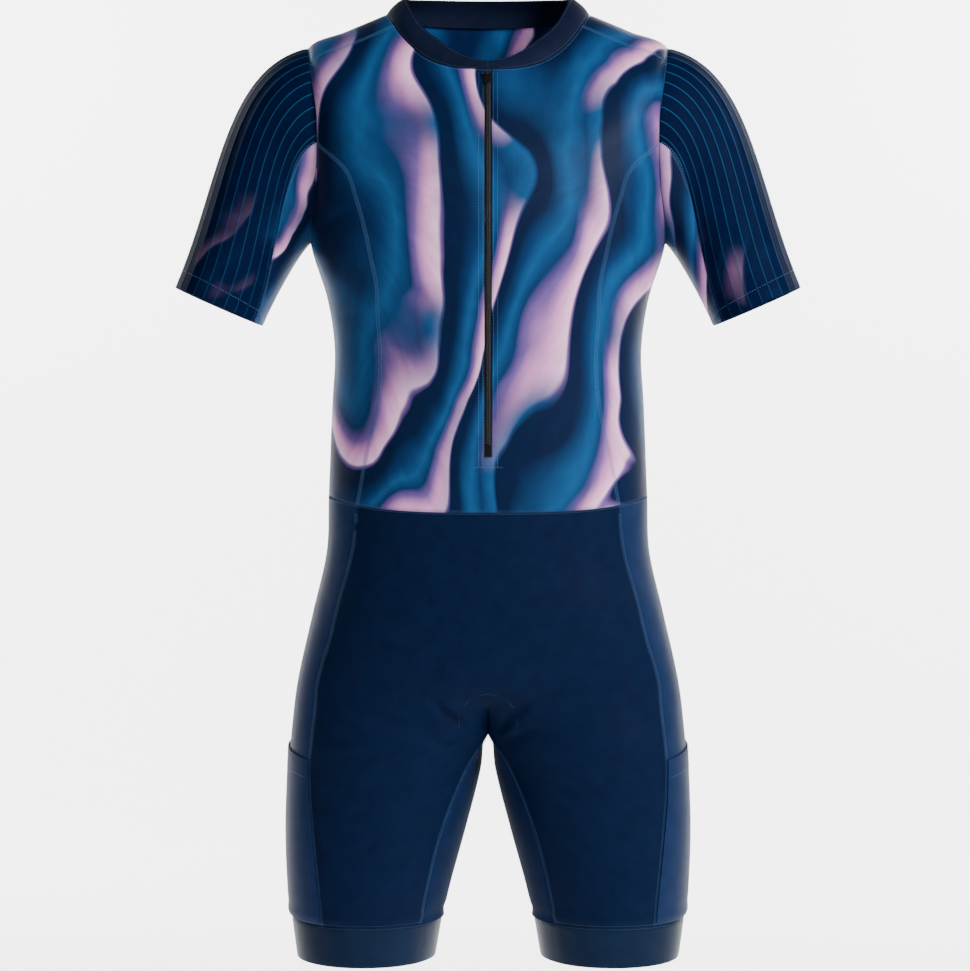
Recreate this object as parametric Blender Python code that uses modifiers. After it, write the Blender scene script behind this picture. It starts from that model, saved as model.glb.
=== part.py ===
"""A short-sleeve triathlon suit, filled out as it is when worn.

The suit is a set of cloth walls cut from smooth surfaces: a shell for the body and legs, a
gusset between the legs, and a sleeve on each side. Metres, +Z up, the front faces -Y and the
wearer's left is +X. The origin lies between the shoulders, at the height of the armholes' tops.
"""

import math
from collections import namedtuple

import bpy
import numpy as np

# ---------------------------------------------------------------- driving sizes
CLOTH = 0.0012  # thickness of the printed cloth and of the shorts
COLLAR_CLOTH = 0.0020  # the collar is doubled
BAND_CLOTH = 0.0018  # the gripper bands are doubled and lined with silicone
SEAM_GAP = 0.0003
RIB_RAISE = 0.0005
RIBS = 22  # on each sleeve

# The rings of the body, from the neckline to the seat. half_width and side_z are at the
# wearer's side; front, front_z, back and back_z are on the centre lines.
BodyRow = namedtuple("BodyRow", "name half_width side_z front front_z back back_z fullness")
BODY_ROWS = (
    BodyRow("neckline", 0.101, 0.030, 0.078, -0.037, 0.066, 0.031, 0.04),
    BodyRow("yoke", 0.141, 0.013, 0.099, -0.078, 0.088, -0.004, 0.08),
    BodyRow("shoulder", 0.179, -0.004, 0.114, -0.119, 0.104, -0.048, 0.12),
    BodyRow("armhole_top", 0.184, -0.055, 0.120, -0.150, 0.112, -0.095, 0.12),
    BodyRow("armhole_mid", 0.181, -0.125, 0.123, -0.180, 0.116, -0.150, 0.12),
    BodyRow("armpit", 0.177, -0.198, 0.122, -0.218, 0.116, -0.210, 0.11),
    BodyRow("chest", 0.160, -0.255, 0.117, -0.262, 0.112, -0.258, 0.10),
    BodyRow("ribs", 0.153, -0.305, 0.111, -0.309, 0.104, -0.306, 0.09),
    BodyRow("belly", 0.1555, -0.360, 0.107, -0.366, 0.098, -0.359, 0.08),
    BodyRow("waist", 0.159, -0.451, 0.104, -0.466, 0.098, -0.447, 0.08),
    BodyRow("high_hip", 0.161, -0.505, 0.105, -0.516, 0.107, -0.503, 0.09),
    BodyRow("hip", 0.1745, -0.565, 0.107, -0.572, 0.123, -0.565, 0.12),
    BodyRow("seat", 0.190, -0.635, 0.100, -0.633, 0.132, -0.635, 0.15),
)
# The rings of one leg. centre is the leg's distance from the middle plane; rise lifts the
# ring's two ends towards the crotch; seam is the inner seam's place, in degrees from the front.
LegRow = namedtuple("LegRow", "name centre outer inner front back z rise seam fullness")
LEG_ROWS = (
    LegRow("fork", 0.0980, 0.0985, 0.1132, 0.093, 0.117, -0.690, 0.013, 60.0, 0.06),
    LegRow("thigh_top", 0.1032, 0.0953, 0.0953, 0.092, 0.107, -0.720, 0.0, 56.0, 0.05),
    LegRow("thigh_mid", 0.1118, 0.0888, 0.0888, 0.089, 0.096, -0.780, 0.0, 46.0, 0.04),
    LegRow("thigh_low", 0.1190, 0.0795, 0.0795, 0.085, 0.088, -0.840, 0.0, 46.0, 0.02),
    LegRow("band_top", 0.1205, 0.0752, 0.0752, 0.081, 0.083, -0.8675, 0.0, 46.0, 0.0),
    LegRow("hem", 0.1213, 0.0690, 0.0690, 0.076, 0.077, -0.9075, 0.0, 46.0, 0.0),
)
CROTCH_LOW = -0.684  # the crotch's lowest point, on the middle plane
CROTCH_SPREAD = (0.005, -0.691)  # half the gap between the legs just below it, and its height

# Seams, as the half breadth of the front or back at each height
SeamRow = namedtuple("SeamRow", "z x")
FRONT_SIDE_SEAM = (
    SeamRow(-0.136, 0.1375), SeamRow(-0.165, 0.1265), SeamRow(-0.204, 0.1160),
    SeamRow(-0.240, 0.1085), SeamRow(-0.281, 0.1060), SeamRow(-0.325, 0.1040),
    SeamRow(-0.358, 0.1065), SeamRow(-0.387, 0.1120), SeamRow(-0.416, 0.1190),
)
FRONT_SIDE_SEAM_END = 0.127  # half breadth at the waist
BACK_SIDE_SEAM = (
    SeamRow(-0.140, 0.1450), SeamRow(-0.170, 0.1360), SeamRow(-0.210, 0.1280),
    SeamRow(-0.250, 0.1220), SeamRow(-0.290, 0.1190), SeamRow(-0.330, 0.1190),
    SeamRow(-0.360, 0.1200), SeamRow(-0.390, 0.1225), SeamRow(-0.420, 0.1250),
)
BACK_SIDE_SEAM_END = 0.128
SHORTS_FRONT_SEAM = (
    SeamRow(-0.490, 0.1295), SeamRow(-0.535, 0.1400), SeamRow(-0.565, 0.1480),
    SeamRow(-0.600, 0.1570), SeamRow(-0.645, 0.1675), SeamRow(-0.690, 0.1720),
    SeamRow(-0.735, 0.1735), SeamRow(-0.780, 0.1700), SeamRow(-0.830, 0.1650),
)
SHORTS_BACK_SEAM = (
    SeamRow(-0.490, 0.1300), SeamRow(-0.535, 0.1390), SeamRow(-0.565, 0.1470),
    SeamRow(-0.600, 0.1560), SeamRow(-0.645, 0.1650), SeamRow(-0.690, 0.1690),
    SeamRow(-0.735, 0.1700), SeamRow(-0.780, 0.1680), SeamRow(-0.830, 0.1640),
)
SHORTS_SEAM_END = 0.161
SHOULDER_SEAM_AT_NECK = 65.0  # degrees round the neckline from the front
FRONT_BREAK = 0.135  # how far down the row that meets the side seam's top starts at the zip
BACK_NECK_LINE = 100.0  # degrees: where the back panel's two stretches of rows meet

# The armhole, as an oval seen from the side. Its angle is 0 at the top and 90 at the front.
ARMHOLE_HEIGHT = 0.194
ARMHOLE_DEPTH = 0.124
ARMHOLE_TOP = -0.004
SHOULDER_SEAM_AT = 41.0
UNDER_SEAM_AT = 93.0
BACK_CORNER_AT = 318.0

# The sleeve
CUFF_CENTRE = (0.268, -0.004, -0.262)
CUFF_BREADTH = 0.0470  # half of it, seen from the front
CUFF_DEPTH = 0.0520
ARM_ANGLE = math.radians(23.4)  # of the arm from the vertical
CUFF_UNDER_SEAM_AT = 152.0
HEAD_DIRECTION = (0.975, -0.22)  # out and up, where the sleeve leaves the shoulder
UNDER_DIRECTION = (0.80, -0.60)  # and where it leaves the armpit
SPREAD = 0.16  # how far its front and back lean apart there
# How far the sleeve keeps its direction at either end, as shares of its length: under the arm,
# and what is added at the top of the shoulder
START_HOLD = (0.14, 0.175)
END_HOLD = (0.30, 0.11)
HEAD_INSET = 0.6  # the sleeve's edge clears the armhole's by this share of the seam gap, inwards
SLEEVE_ROWS = (0.0, 0.08, 0.2, 0.36, 0.55, 0.77, 1.0)
UNDER_EDGE = 0.8 * SEAM_GAP  # the underarm panel is cut back a little more at its seams

# The collar
COLLAR_HEIGHT = 0.026
COLLAR_FRONT_HEIGHT = 0.009
COLLAR_FULL_AT = 36.0  # degrees from the front, where it reaches its height
COLLAR_SIDE_LEAN = 0.019  # how far its top leans in, at the wearer's sides
COLLAR_BOW = 0.10  # how far it bows out between, as a share of its height
COLLAR_END_LEAN = 0.009  # and at its ends
COLLAR_OPEN = 0.0030  # half the gap between its ends

# The zip
SLIT = 0.0036  # half the width of the slit that shows the zip
ZIP_END_Z = -0.413
COIL_BREADTH = 0.0024
COIL_THICK = 0.0016
TAPE_IN = 0.0028
TAPE_OUT = 0.0110
TAPE_THICK = 0.0010
SLIDER_Z = -0.047
SLIDER_SIZE = (0.0084, 0.0110, 0.0014)
SLIDER_LIFT = 0.0005  # its back clears the coil and the slit's edges by this
LUG_SIZE = (0.0010, 0.0030, 0.0030)
LUG_SINK = 0.0003  # how far the lugs stand in the plate
LUG_MARGIN = 0.0008  # from the plate's top to the lugs
PIN_RADIUS = 0.00045
PULL_TOP_WIDTH = 0.0050
PULL_END_WIDTH = 0.0036
PULL_LENGTH = 0.0120
PULL_THICK = 0.0012
BARREL_RADIUS = 0.0013
BARREL_BORE = 0.00080

# The pocket covers these rows of its side panel, which has 17. Its opening slants up to the back.
POCKET_OPENING = (9.75, 9.10)  # at the front seam and at the back seam
POCKET_ROWS = (9.5, 10, 11, 12, 13, 14, 15, 15.9)
POCKET_GAP = 0.0004  # between the two layers
POCKET_GAPE = 0.0005  # more, at the opening
POCKET_MARGIN = 0.0008  # between the pocket edge and the seams of the side panel

PRINT_BLUE = (0.012, 0.075, 0.205)
SLEEVE_NAVY = (0.006, 0.020, 0.070)
COLLAR_NAVY = (0.010, 0.016, 0.045)
SHORTS_NAVY = (0.008, 0.020, 0.060)
PANEL_NAVY = (0.014, 0.030, 0.085)
BAND_NAVY = (0.010, 0.035, 0.095)
ZIP_BLACK = (0.006, 0.006, 0.009)


# ---------------------------------------------------------------- surfaces
def body_point(row, angle):
    """A ring's point at an angle in degrees: 0 at the front, 90 at the wearer's side."""
    s = math.sin(math.radians(angle))
    c = math.cos(math.radians(angle))
    depth = row.front if c > 0 else row.back
    middle_z = row.front_z if c > 0 else row.back_z
    return np.array((
        row.half_width * s * (1 + row.fullness * c * c),
        -depth * c * (1 + row.fullness * s * s),
        middle_z + (row.side_z - middle_z) * abs(s) ** 3,
    ))


def leg_point(row, turn):
    """A leg ring's point at a turn in degrees: 0 at its front, 90 outside, 180 at its back."""
    s = math.sin(math.radians(turn))
    c = math.cos(math.radians(turn))
    breadth = row.outer if s > 0 else row.inner
    depth = row.front if c > 0 else row.back
    return np.array((
        row.centre + breadth * s * (1 + row.fullness * c * c),
        -depth * c * (1 + row.fullness * s * s),
        row.z + row.rise * (abs(turn - 90) / (90 + row.seam)) ** 4,
    ))


def ring_point(index, angle):
    if index < len(BODY_ROWS):
        return body_point(BODY_ROWS[index], angle)
    row = LEG_ROWS[index - len(BODY_ROWS)]
    return leg_point(row, -row.seam + angle * (180 + 2 * row.seam) / 180)


ROW_NAMES = [row.name for row in BODY_ROWS + LEG_ROWS]
SIDE_POINTS = [ring_point(i, 90) for i in range(len(ROW_NAMES))]
SIDE_STEPS = [np.linalg.norm(b - a) for a, b in zip(SIDE_POINTS, SIDE_POINTS[1:])]
KNOTS = np.concatenate([[0.0], np.cumsum(SIDE_STEPS)])
FORK = ROW_NAMES.index("fork")


def at_row(name):
    """How far down the wearer's side a named row lies: the shell's second coordinate."""
    return KNOTS[ROW_NAMES.index(name)]


def hermite(p, q, m, n, s):
    return (
        p * (2 * s**3 - 3 * s**2 + 1)
        + m * (s**3 - 2 * s**2 + s)
        + q * (-2 * s**3 + 3 * s**2)
        + n * (s**3 - s**2)
    )


def spline(knots, points, t):
    """A smooth curve through points at uneven knots."""
    last = len(knots) - 1
    i = int(np.clip(np.searchsorted(knots, t) - 1, 0, last - 1))

    def slope(k):
        low, high = max(k - 1, 0), min(k + 1, last)
        return (points[high] - points[low]) / (knots[high] - knots[low])

    span = knots[i + 1] - knots[i]
    s = (t - knots[i]) / span
    return hermite(points[i], points[i + 1], slope(i) * span, slope(i + 1) * span, s)


def shell(angle, t):
    """The surface of the body and legs, at an angle from the front and a way down the side."""
    last = len(KNOTS) - 1
    i = int(np.clip(np.searchsorted(KNOTS, t) - 1, 0, last - 1))
    near = {k: ring_point(k, angle) for k in range(max(i - 1, 0), min(i + 2, last) + 1)}

    def slope(k):
        low, high = max(k - 1, 0), min(k + 1, last)
        return (near[high] - near[low]) / (KNOTS[high] - KNOTS[low])

    span = KNOTS[i + 1] - KNOTS[i]
    m, n = slope(i) * span, slope(i + 1) * span
    if i + 1 == FORK:  # above the fork the middle stays on the middle plane
        n[0] *= min(1.0, math.sin(math.radians(angle)) / math.sin(math.radians(30)))
    return hermite(near[i], near[i + 1], m, n, (t - KNOTS[i]) / span)


LEG_KNOTS = KNOTS[FORK:]
CROTCH_RUN = (-0.030, 0.0, 0.009)  # where the crotch's points lie along the inner line
INNER_KNOTS = np.concatenate([LEG_KNOTS[0] + np.array(CROTCH_RUN), LEG_KNOTS[1:]])
INNER_LINE = [
    np.array((-CROTCH_SPREAD[0], 0.0, CROTCH_SPREAD[1])),
    np.array((0.0, 0.0, CROTCH_LOW)),
    np.array((CROTCH_SPREAD[0], 0.0, CROTCH_SPREAD[1])),
] + [leg_point(row, -90) for row in LEG_ROWS[1:]]


def gusset(across, t):
    """The surface between the legs: across runs from -1 at the front seam to 1 at the back."""
    front, back = shell(0, t), shell(180, t)
    middle = spline(INNER_KNOTS, INNER_LINE, t)
    q = across
    return front * q * (q - 1) / 2 + middle * (1 - q * q) + back * q * (q + 1) / 2


def normal_of(surface, u, v, du, dv):
    along = surface(u, v + dv) - surface(u, v - dv)
    across = surface(u + du, v) - surface(u - du, v)
    n = np.cross(along, across)
    return n / np.linalg.norm(n)


def solve(surface, start, goal, axes):
    """The surface coordinates whose point has the two goal values on the two named axes."""
    u, v = start
    for _ in range(30):
        here = surface(u, v)[axes]
        by_u = (surface(u + 0.05, v)[axes] - here) / 0.05
        by_v = (surface(u, v + 0.0005)[axes] - here) / 0.0005
        step = np.linalg.solve(np.column_stack([by_u, by_v]), np.asarray(goal) - here)
        u += float(np.clip(step[0], -8, 8))
        v += float(np.clip(step[1], -0.02, 0.02))
    return u, v


# ---------------------------------------------------------------- seams on the shell
T_WAIST = at_row("waist")
T_BAND = at_row("band_top")
T_HEM = at_row("hem")


def armhole_place(turn):
    """Depth and height of the armhole's edge at a turn in degrees round its oval."""
    middle = ARMHOLE_TOP - ARMHOLE_HEIGHT / 2
    y = -ARMHOLE_DEPTH / 2 * math.sin(math.radians(turn))
    return y, middle + ARMHOLE_HEIGHT / 2 * math.cos(math.radians(turn))


def armhole_on_shell(turn):
    y, z = armhole_place(turn)
    height = (z - ARMHOLE_TOP) / -ARMHOLE_HEIGHT
    start = (90 + y / 0.0025, at_row("shoulder") + height * (at_row("armpit") - at_row("shoulder")))
    return solve(shell, start, (y, z), [1, 2])


def steps(start, end, count):
    return [start + (end - start) * i / count for i in range(count + 1)]


# How many cells lie along each stretch. Neighbours share them.
SHOULDER_CELLS = 6
ARM_FRONT_CELLS = 5
ARM_UNDER_CELLS = 8
ARM_BACK_CELLS = 5
ARM_OVER_CELLS = 7
SIDE_CELLS = 13
SHORTS_CELLS = 16
FRONT_COLUMNS = 9
HALF_COLUMNS = 8  # of the back and of the shorts' front and back, on each side
SIDE_COLUMNS = 6  # of the shorts' side panels
GUSSET_COLUMNS = 6
COLLAR_COLUMNS = 15
BAND_COLUMNS = 30

FRONT_TURNS = steps(SHOULDER_SEAM_AT, UNDER_SEAM_AT, ARM_FRONT_CELLS)
UNDER_TURNS = steps(UNDER_SEAM_AT, 360 - UNDER_SEAM_AT, ARM_UNDER_CELLS)
BACK_TURNS = steps(360 - UNDER_SEAM_AT, BACK_CORNER_AT, ARM_BACK_CELLS)
OVER_TURNS = steps(BACK_CORNER_AT, 360 + SHOULDER_SEAM_AT, ARM_OVER_CELLS)
ARMHOLE_FRONT = [armhole_on_shell(turn) for turn in FRONT_TURNS]
ARMHOLE_UNDER = [armhole_on_shell(turn) for turn in UNDER_TURNS]
ARMHOLE_BACK = [armhole_on_shell(turn) for turn in BACK_TURNS]
ARMHOLE_OVER = [armhole_on_shell(turn) for turn in OVER_TURNS]


def resample(points, count):
    """Points of a smooth line through shell coordinates, evenly spaced."""
    points = [np.array(p, float) for p in points]
    places = [shell(*p) for p in points]
    knots = np.concatenate([[0.0], np.cumsum([np.linalg.norm(b - a) for a, b in zip(places, places[1:])])])
    return [tuple(spline(knots, points, t)) for t in steps(0.0, knots[-1], count)]


def seam_points(rows, sign):
    """Shell coordinates of a seam's rows, on the front (sign -1) or the back (sign 1)."""
    found = []
    for row in rows:
        t = np.interp(-row.z, [-p[2] for p in SIDE_POINTS], KNOTS)
        angle = 60.0 if sign < 0 else 120.0
        found.append(solve(shell, (angle, t), (row.x, row.z), [0, 2]))
    return found


def end_on_row(x, t, sign):
    """The angle at which a row of the shell has the half breadth x."""
    low, high = (0.0, 90.0) if sign < 0 else (180.0, 90.0)
    for _ in range(40):
        middle = (low + high) / 2
        if shell(middle, t)[0] < x:
            low = middle
        else:
            high = middle
    return middle


def side_seam(start, rows, end_x, sign):
    points = [start] + seam_points(rows, sign) + [(end_on_row(end_x, T_WAIST, sign), T_WAIST)]
    return resample(points, SIDE_CELLS)


FRONT_SEAM = side_seam(ARMHOLE_FRONT[-1], FRONT_SIDE_SEAM, FRONT_SIDE_SEAM_END, -1)
BACK_SEAM = side_seam(ARMHOLE_BACK[0], BACK_SIDE_SEAM, BACK_SIDE_SEAM_END, 1)
SHOULDER_SEAM = resample([(SHOULDER_SEAM_AT_NECK, 0.0), ARMHOLE_FRONT[0]], SHOULDER_CELLS)
BACK_LINE = resample([(BACK_NECK_LINE, 0.0), ARMHOLE_BACK[-1]], SHOULDER_CELLS)


def shorts_seam(rows, top_x, sign):
    points = [(end_on_row(top_x, T_WAIST, sign), T_WAIST)] + seam_points(rows, sign)
    points.append((end_on_row(SHORTS_SEAM_END, T_BAND, sign), T_BAND))
    return resample(points, SHORTS_CELLS)


SHORTS_FRONT_LINE = shorts_seam(SHORTS_FRONT_SEAM, FRONT_SIDE_SEAM_END, -1)
SHORTS_BACK_LINE = shorts_seam(SHORTS_BACK_SEAM, BACK_SIDE_SEAM_END, 1)


# ---------------------------------------------------------------- grids of cloth
def straight(start, end, count):
    start, end = np.array(start, float), np.array(end, float)
    return [tuple(start + (end - start) * i / count) for i in range(count + 1)]


def filled(top, bottom, left, right):
    """Coordinates that fill a patch between four edges; left and right run downwards."""
    top, bottom, left, right = (np.array(e, float) for e in (top, bottom, left, right))
    rows, columns = len(left) - 1, len(top) - 1
    grid = np.zeros((rows + 1, columns + 1, 2))
    for i in range(rows + 1):
        v = i / rows
        for j in range(columns + 1):
            u = j / columns
            corners = (
                (1 - u) * (1 - v) * top[0] + u * (1 - v) * top[-1]
                + (1 - u) * v * bottom[0] + u * v * bottom[-1]
            )
            grid[i, j] = (
                (1 - v) * top[j] + v * bottom[j] + (1 - u) * left[i] + u * right[i] - corners
            )
    return grid


def cloth(grid, surface, du, dv, raised=None):
    """The point, outward normal and relief of each coordinate pair in a grid."""
    rows, columns = grid.shape[:2]
    made = np.zeros((rows, columns, 7))
    for i in range(rows):
        for j in range(columns):
            u, v = grid[i, j]
            made[i, j, :3] = surface(u, v)
            made[i, j, 3:6] = normal_of(surface, u, v, du, dv)
            made[i, j, 6] = raised(i, j) if raised else 0.0
    return made


def on_shell(grid):
    made = cloth(grid, shell, 0.2, 0.0005)
    middle = (grid[..., 0] < 0.01) | (grid[..., 0] > 179.99)
    on_plane = middle & (grid[..., 1] <= LEG_KNOTS[0] + 1e-6)
    made[on_plane, 0] = 0.0
    made[on_plane, 3] = 0.0
    return made


def mirrored(made):
    other = made.copy()
    other[..., 0] *= -1
    other[..., 3] *= -1
    return other


def lifted(made, height):
    """The same cloth moved out along its normals."""
    moved = made.copy()
    moved[..., :3] += height * made[..., 3:6]
    return moved


def merged(grids):
    """One list of vertices for several grids, and triangles that face along the normals."""
    vertices, index, triangles = [], {}, []
    for made in grids:
        rows, columns = made.shape[:2]
        ids = np.zeros((rows, columns), int)
        for i in range(rows):
            for j in range(columns):
                key = tuple(np.round(made[i, j, :3] * 1e5).astype(int))
                if key not in index:
                    index[key] = len(vertices)
                    vertices.append(made[i, j])
                ids[i, j] = index[key]
        for i in range(rows - 1):
            for j in range(columns - 1):
                quad = (ids[i, j], ids[i + 1, j], ids[i + 1, j + 1], ids[i, j + 1])
                a, b, c, d = (vertices[k][:3] for k in quad)
                outward = np.cross(c - a, d - b) @ vertices[quad[0]][3:6]
                for half in ((quad[0], quad[1], quad[2]), (quad[0], quad[2], quad[3])):
                    triangles.append(half if outward > 0 else half[::-1])
    return np.array(vertices), triangles


def border_of(triangles):
    """Each border vertex's neighbours, before and after it along the border."""
    edges = {(q[k], q[(k + 1) % 3]) for q in triangles for k in range(3)}
    border = [(a, b) for a, b in edges if (b, a) not in edges]
    return {b: a for a, b in border}, {a: b for a, b in border}


def inset(vertices, triangles, amount):
    """Moves the border inwards along the cloth."""
    before, after = border_of(triangles)
    moved = vertices.copy()
    for v in after:
        n = vertices[v][3:6]
        sides = []
        for a, b in ((before[v], v), (v, after[v])):
            edge = vertices[b][:3] - vertices[a][:3]
            side = np.cross(n, edge)
            sides.append(side / np.linalg.norm(side))
        both = sides[0] + sides[1]
        shift = amount * both / max(1 + sides[0] @ sides[1], 0.15)
        moved[v][:3] += shift
    return moved


def wall(name, grids, thick, material, edge=SEAM_GAP / 2):
    """A closed cloth wall: the grids outside, a plain copy inside and a rim between them."""
    vertices, triangles = merged(grids)
    vertices = inset(vertices, triangles, edge)
    outer = vertices[:, :3] + vertices[:, 3:6] * vertices[:, 6:7]
    inner = vertices[:, :3] - vertices[:, 3:6] * thick
    count = len(vertices)
    _, after = border_of(triangles)
    faces = list(triangles)
    faces += [tuple(k + count for k in face[::-1]) for face in triangles]
    faces += [(b, a, a + count, b + count) for a, b in after.items()]
    mesh = bpy.data.meshes.new(name)
    mesh.from_pydata(np.vstack([outer, inner]).tolist(), [], [tuple(map(int, f)) for f in faces])
    mesh.shade_smooth()
    mesh.set_sharp_from_angle(angle=math.radians(40))
    return add(name, mesh, material)


# ---------------------------------------------------------------- objects and materials
def fresh_collection(name):
    """Empties the scene and gives it one collection."""
    for old in list(bpy.data.objects):
        bpy.data.objects.remove(old)
    collection = bpy.data.collections.new(name)
    bpy.context.scene.collection.children.link(collection)
    return collection


def finish_of(name, colour, roughness, metallic=0.0):
    material = bpy.data.materials.new(name)
    material.use_nodes = True
    shader = material.node_tree.nodes["Principled BSDF"]
    shader.inputs["Base Color"].default_value = (*colour, 1.0)
    shader.inputs["Roughness"].default_value = roughness
    shader.inputs["Metallic"].default_value = metallic
    return material


def add(name, mesh, material):
    thing = bpy.data.objects.new(name, mesh)
    mesh.materials.append(material)
    SUIT.objects.link(thing)
    return thing


# ---------------------------------------------------------------- upper body
def slit_angle(t):
    """The angle at which the slit's edge lies, t down the side."""
    return end_on_row(SLIT, t, -1)


def down_front_to(height):
    """How far down the shell its front line has a height."""
    def front_line(x, t):
        return shell(0, t) + np.array((x, 0, 0))

    front_heights = [-row.front_z for row in BODY_ROWS]
    start = np.interp(-height, front_heights, KNOTS[:len(BODY_ROWS)])
    return solve(front_line, (0.0, start), (0.0, height), [0, 2])[1]


def front_rows():
    """How far down the shell each row of the front starts, and the row at the zip's end."""
    outer = SHOULDER_SEAM[:-1] + ARMHOLE_FRONT[:-1] + FRONT_SEAM
    upper = steps(0.0, FRONT_BREAK, SHOULDER_CELLS + ARM_FRONT_CELLS)
    rows = np.array(upper[:-1] + steps(FRONT_BREAK, T_WAIST, SIDE_CELLS))
    zip_row = int(np.argmin(abs(rows - down_front_to(ZIP_END_Z))))
    rows[zip_row] = down_front_to(ZIP_END_Z)
    return outer, rows, zip_row


def build_front(material):
    outer, rows, zip_row = front_rows()
    left = [(slit_angle(t), t) for t in rows]
    top = straight(left[0], outer[0], FRONT_COLUMNS)
    bottom = straight(left[-1], outer[-1], FRONT_COLUMNS)
    half = on_shell(filled(top, bottom, left, outer))
    middle = on_shell(np.array([[(0.0, t), (angle, t)] for angle, t in left[zip_row:]]))
    return wall("front_body", [half, mirrored(half), middle, mirrored(middle)], CLOTH, material)


def build_back(material):
    over = on_shell(filled(
        straight((SHOULDER_SEAM_AT_NECK, 0.0), (BACK_NECK_LINE, 0.0), ARM_OVER_CELLS),
        ARMHOLE_OVER[::-1], SHOULDER_SEAM, BACK_LINE,
    ))
    side = BACK_LINE[:-1] + ARMHOLE_BACK[::-1][:-1] + BACK_SEAM
    centre = [(180.0, t) for t in steps(0.0, T_WAIST, len(side) - 1)]
    top = straight(side[0], centre[0], HALF_COLUMNS)
    bottom = straight(side[-1], centre[-1], HALF_COLUMNS)
    main = on_shell(filled(top, bottom, side, centre))
    return wall("back_body", [over, mirrored(over), main, mirrored(main)], CLOTH, material)


def build_side_panel(side, material):
    top = ARMHOLE_UNDER
    bottom = straight(FRONT_SEAM[-1], BACK_SEAM[-1], len(top) - 1)
    panel = on_shell(filled(top, bottom, FRONT_SEAM, BACK_SEAM))
    grids = [panel if side == "left" else mirrored(panel)]
    return wall(f"side_panel_{side}", grids, CLOTH, material)


# ---------------------------------------------------------------- sleeves
def armhole_line():
    """Turns and places round the armhole, at the corners of its neighbours' cells."""
    turns = FRONT_TURNS[:-1] + UNDER_TURNS[:-1] + BACK_TURNS[:-1] + OVER_TURNS
    places = []
    for pair in ARMHOLE_FRONT[:-1] + ARMHOLE_UNDER[:-1] + ARMHOLE_BACK[:-1] + ARMHOLE_OVER:
        outward = normal_of(shell, *pair, 0.2, 0.0005)
        places.append((shell(*pair), outward))
    return np.array(turns), places


ARMHOLE_TURNS, ARMHOLE_PLACES = armhole_line()
ARMHOLE_MIDDLE = np.mean([place for place, _ in ARMHOLE_PLACES], axis=0)


def armhole_at(turn):
    """A point just outside the armhole's edge, on the straight runs between its corners."""
    turn = (turn - SHOULDER_SEAM_AT) % 360 + SHOULDER_SEAM_AT
    i = int(np.clip(np.searchsorted(ARMHOLE_TURNS, turn) - 1, 0, len(ARMHOLE_TURNS) - 2))
    share = (turn - ARMHOLE_TURNS[i]) / (ARMHOLE_TURNS[i + 1] - ARMHOLE_TURNS[i])
    (p, n), (q, m) = ARMHOLE_PLACES[i], ARMHOLE_PLACES[i + 1]
    outward = n * (1 - share) + m * share
    place = p * (1 - share) + q * share
    inward = ARMHOLE_MIDDLE - place
    inward[0] = 0.0
    inward /= np.linalg.norm(inward)
    return place + SEAM_GAP * (outward / np.linalg.norm(outward) + HEAD_INSET * inward)


def cuff_at(turn):
    out = np.array((math.cos(ARM_ANGLE), 0.0, math.sin(ARM_ANGLE)))
    c, s = math.cos(math.radians(turn)), math.sin(math.radians(turn))
    return np.array(CUFF_CENTRE) + CUFF_BREADTH * c * out + np.array((0.0, -CUFF_DEPTH * s, 0.0))


def sleeve_turn(turn):
    """A sleeve's columns gather towards the under seam, from the armhole to the cuff."""
    turn = (turn + 180) % 360 - 180
    size = abs(turn)
    if size <= UNDER_SEAM_AT:
        at_cuff = size * CUFF_UNDER_SEAM_AT / UNDER_SEAM_AT
    else:
        rest = (size - UNDER_SEAM_AT) / (180 - UNDER_SEAM_AT)
        at_cuff = CUFF_UNDER_SEAM_AT + rest * (180 - CUFF_UNDER_SEAM_AT)
    return math.copysign(at_cuff, turn)


def sleeve(turn, v):
    """A sleeve's surface, at a turn round the armhole and a share v of its length."""
    start, end = armhole_at(turn), cuff_at(sleeve_turn(turn))
    length = np.linalg.norm(end - start)
    height = (1 + math.cos(math.radians(turn))) / 2
    lead = np.array((*UNDER_DIRECTION, 0.0)) * (1 - height) + np.array((*HEAD_DIRECTION, 0.0)) * height
    lead = np.array((lead[0], -SPREAD * math.sin(math.radians(turn)), lead[1]))
    lead /= np.linalg.norm(lead)
    axis = np.array((math.sin(ARM_ANGLE), 0.0, -math.cos(ARM_ANGLE)))
    b = start + lead * length * (START_HOLD[0] + START_HOLD[1] * height)
    c = end - axis * length * (END_HOLD[0] + END_HOLD[1] * height)
    w = 1 - v
    return w**3 * start + 3 * w * w * v * b + 3 * w * v * v * c + v**3 * end


def sleeve_grid(turns, raised=None):
    grid = np.array([[(turn, v) for turn in turns] for v in SLEEVE_ROWS])
    made = cloth(grid, sleeve, 0.5, 0.004, raised)
    made[..., 3:6] *= -1  # turns run the other way round than the shell's angles
    return made


def build_sleeve(side, upper_material, under_material):
    def rib(i, j):
        return RIB_RAISE if j % 2 and 0 < i else 0.0

    upper = sleeve_grid(steps(-UNDER_SEAM_AT, UNDER_SEAM_AT, 2 * RIBS), rib)
    under = sleeve_grid(UNDER_TURNS)
    if side == "right":
        upper, under = mirrored(upper), mirrored(under)
    wall(f"sleeve_upper_{side}", [upper], CLOTH, upper_material)
    wall(f"sleeve_under_{side}", [under], CLOTH, under_material, edge=UNDER_EDGE)


# ---------------------------------------------------------------- collar
def collar_height(angle):
    share = min(angle / COLLAR_FULL_AT, 1.0)
    return COLLAR_FRONT_HEIGHT + (COLLAR_HEIGHT - COLLAR_FRONT_HEIGHT) * share * share * (3 - 2 * share)


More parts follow.
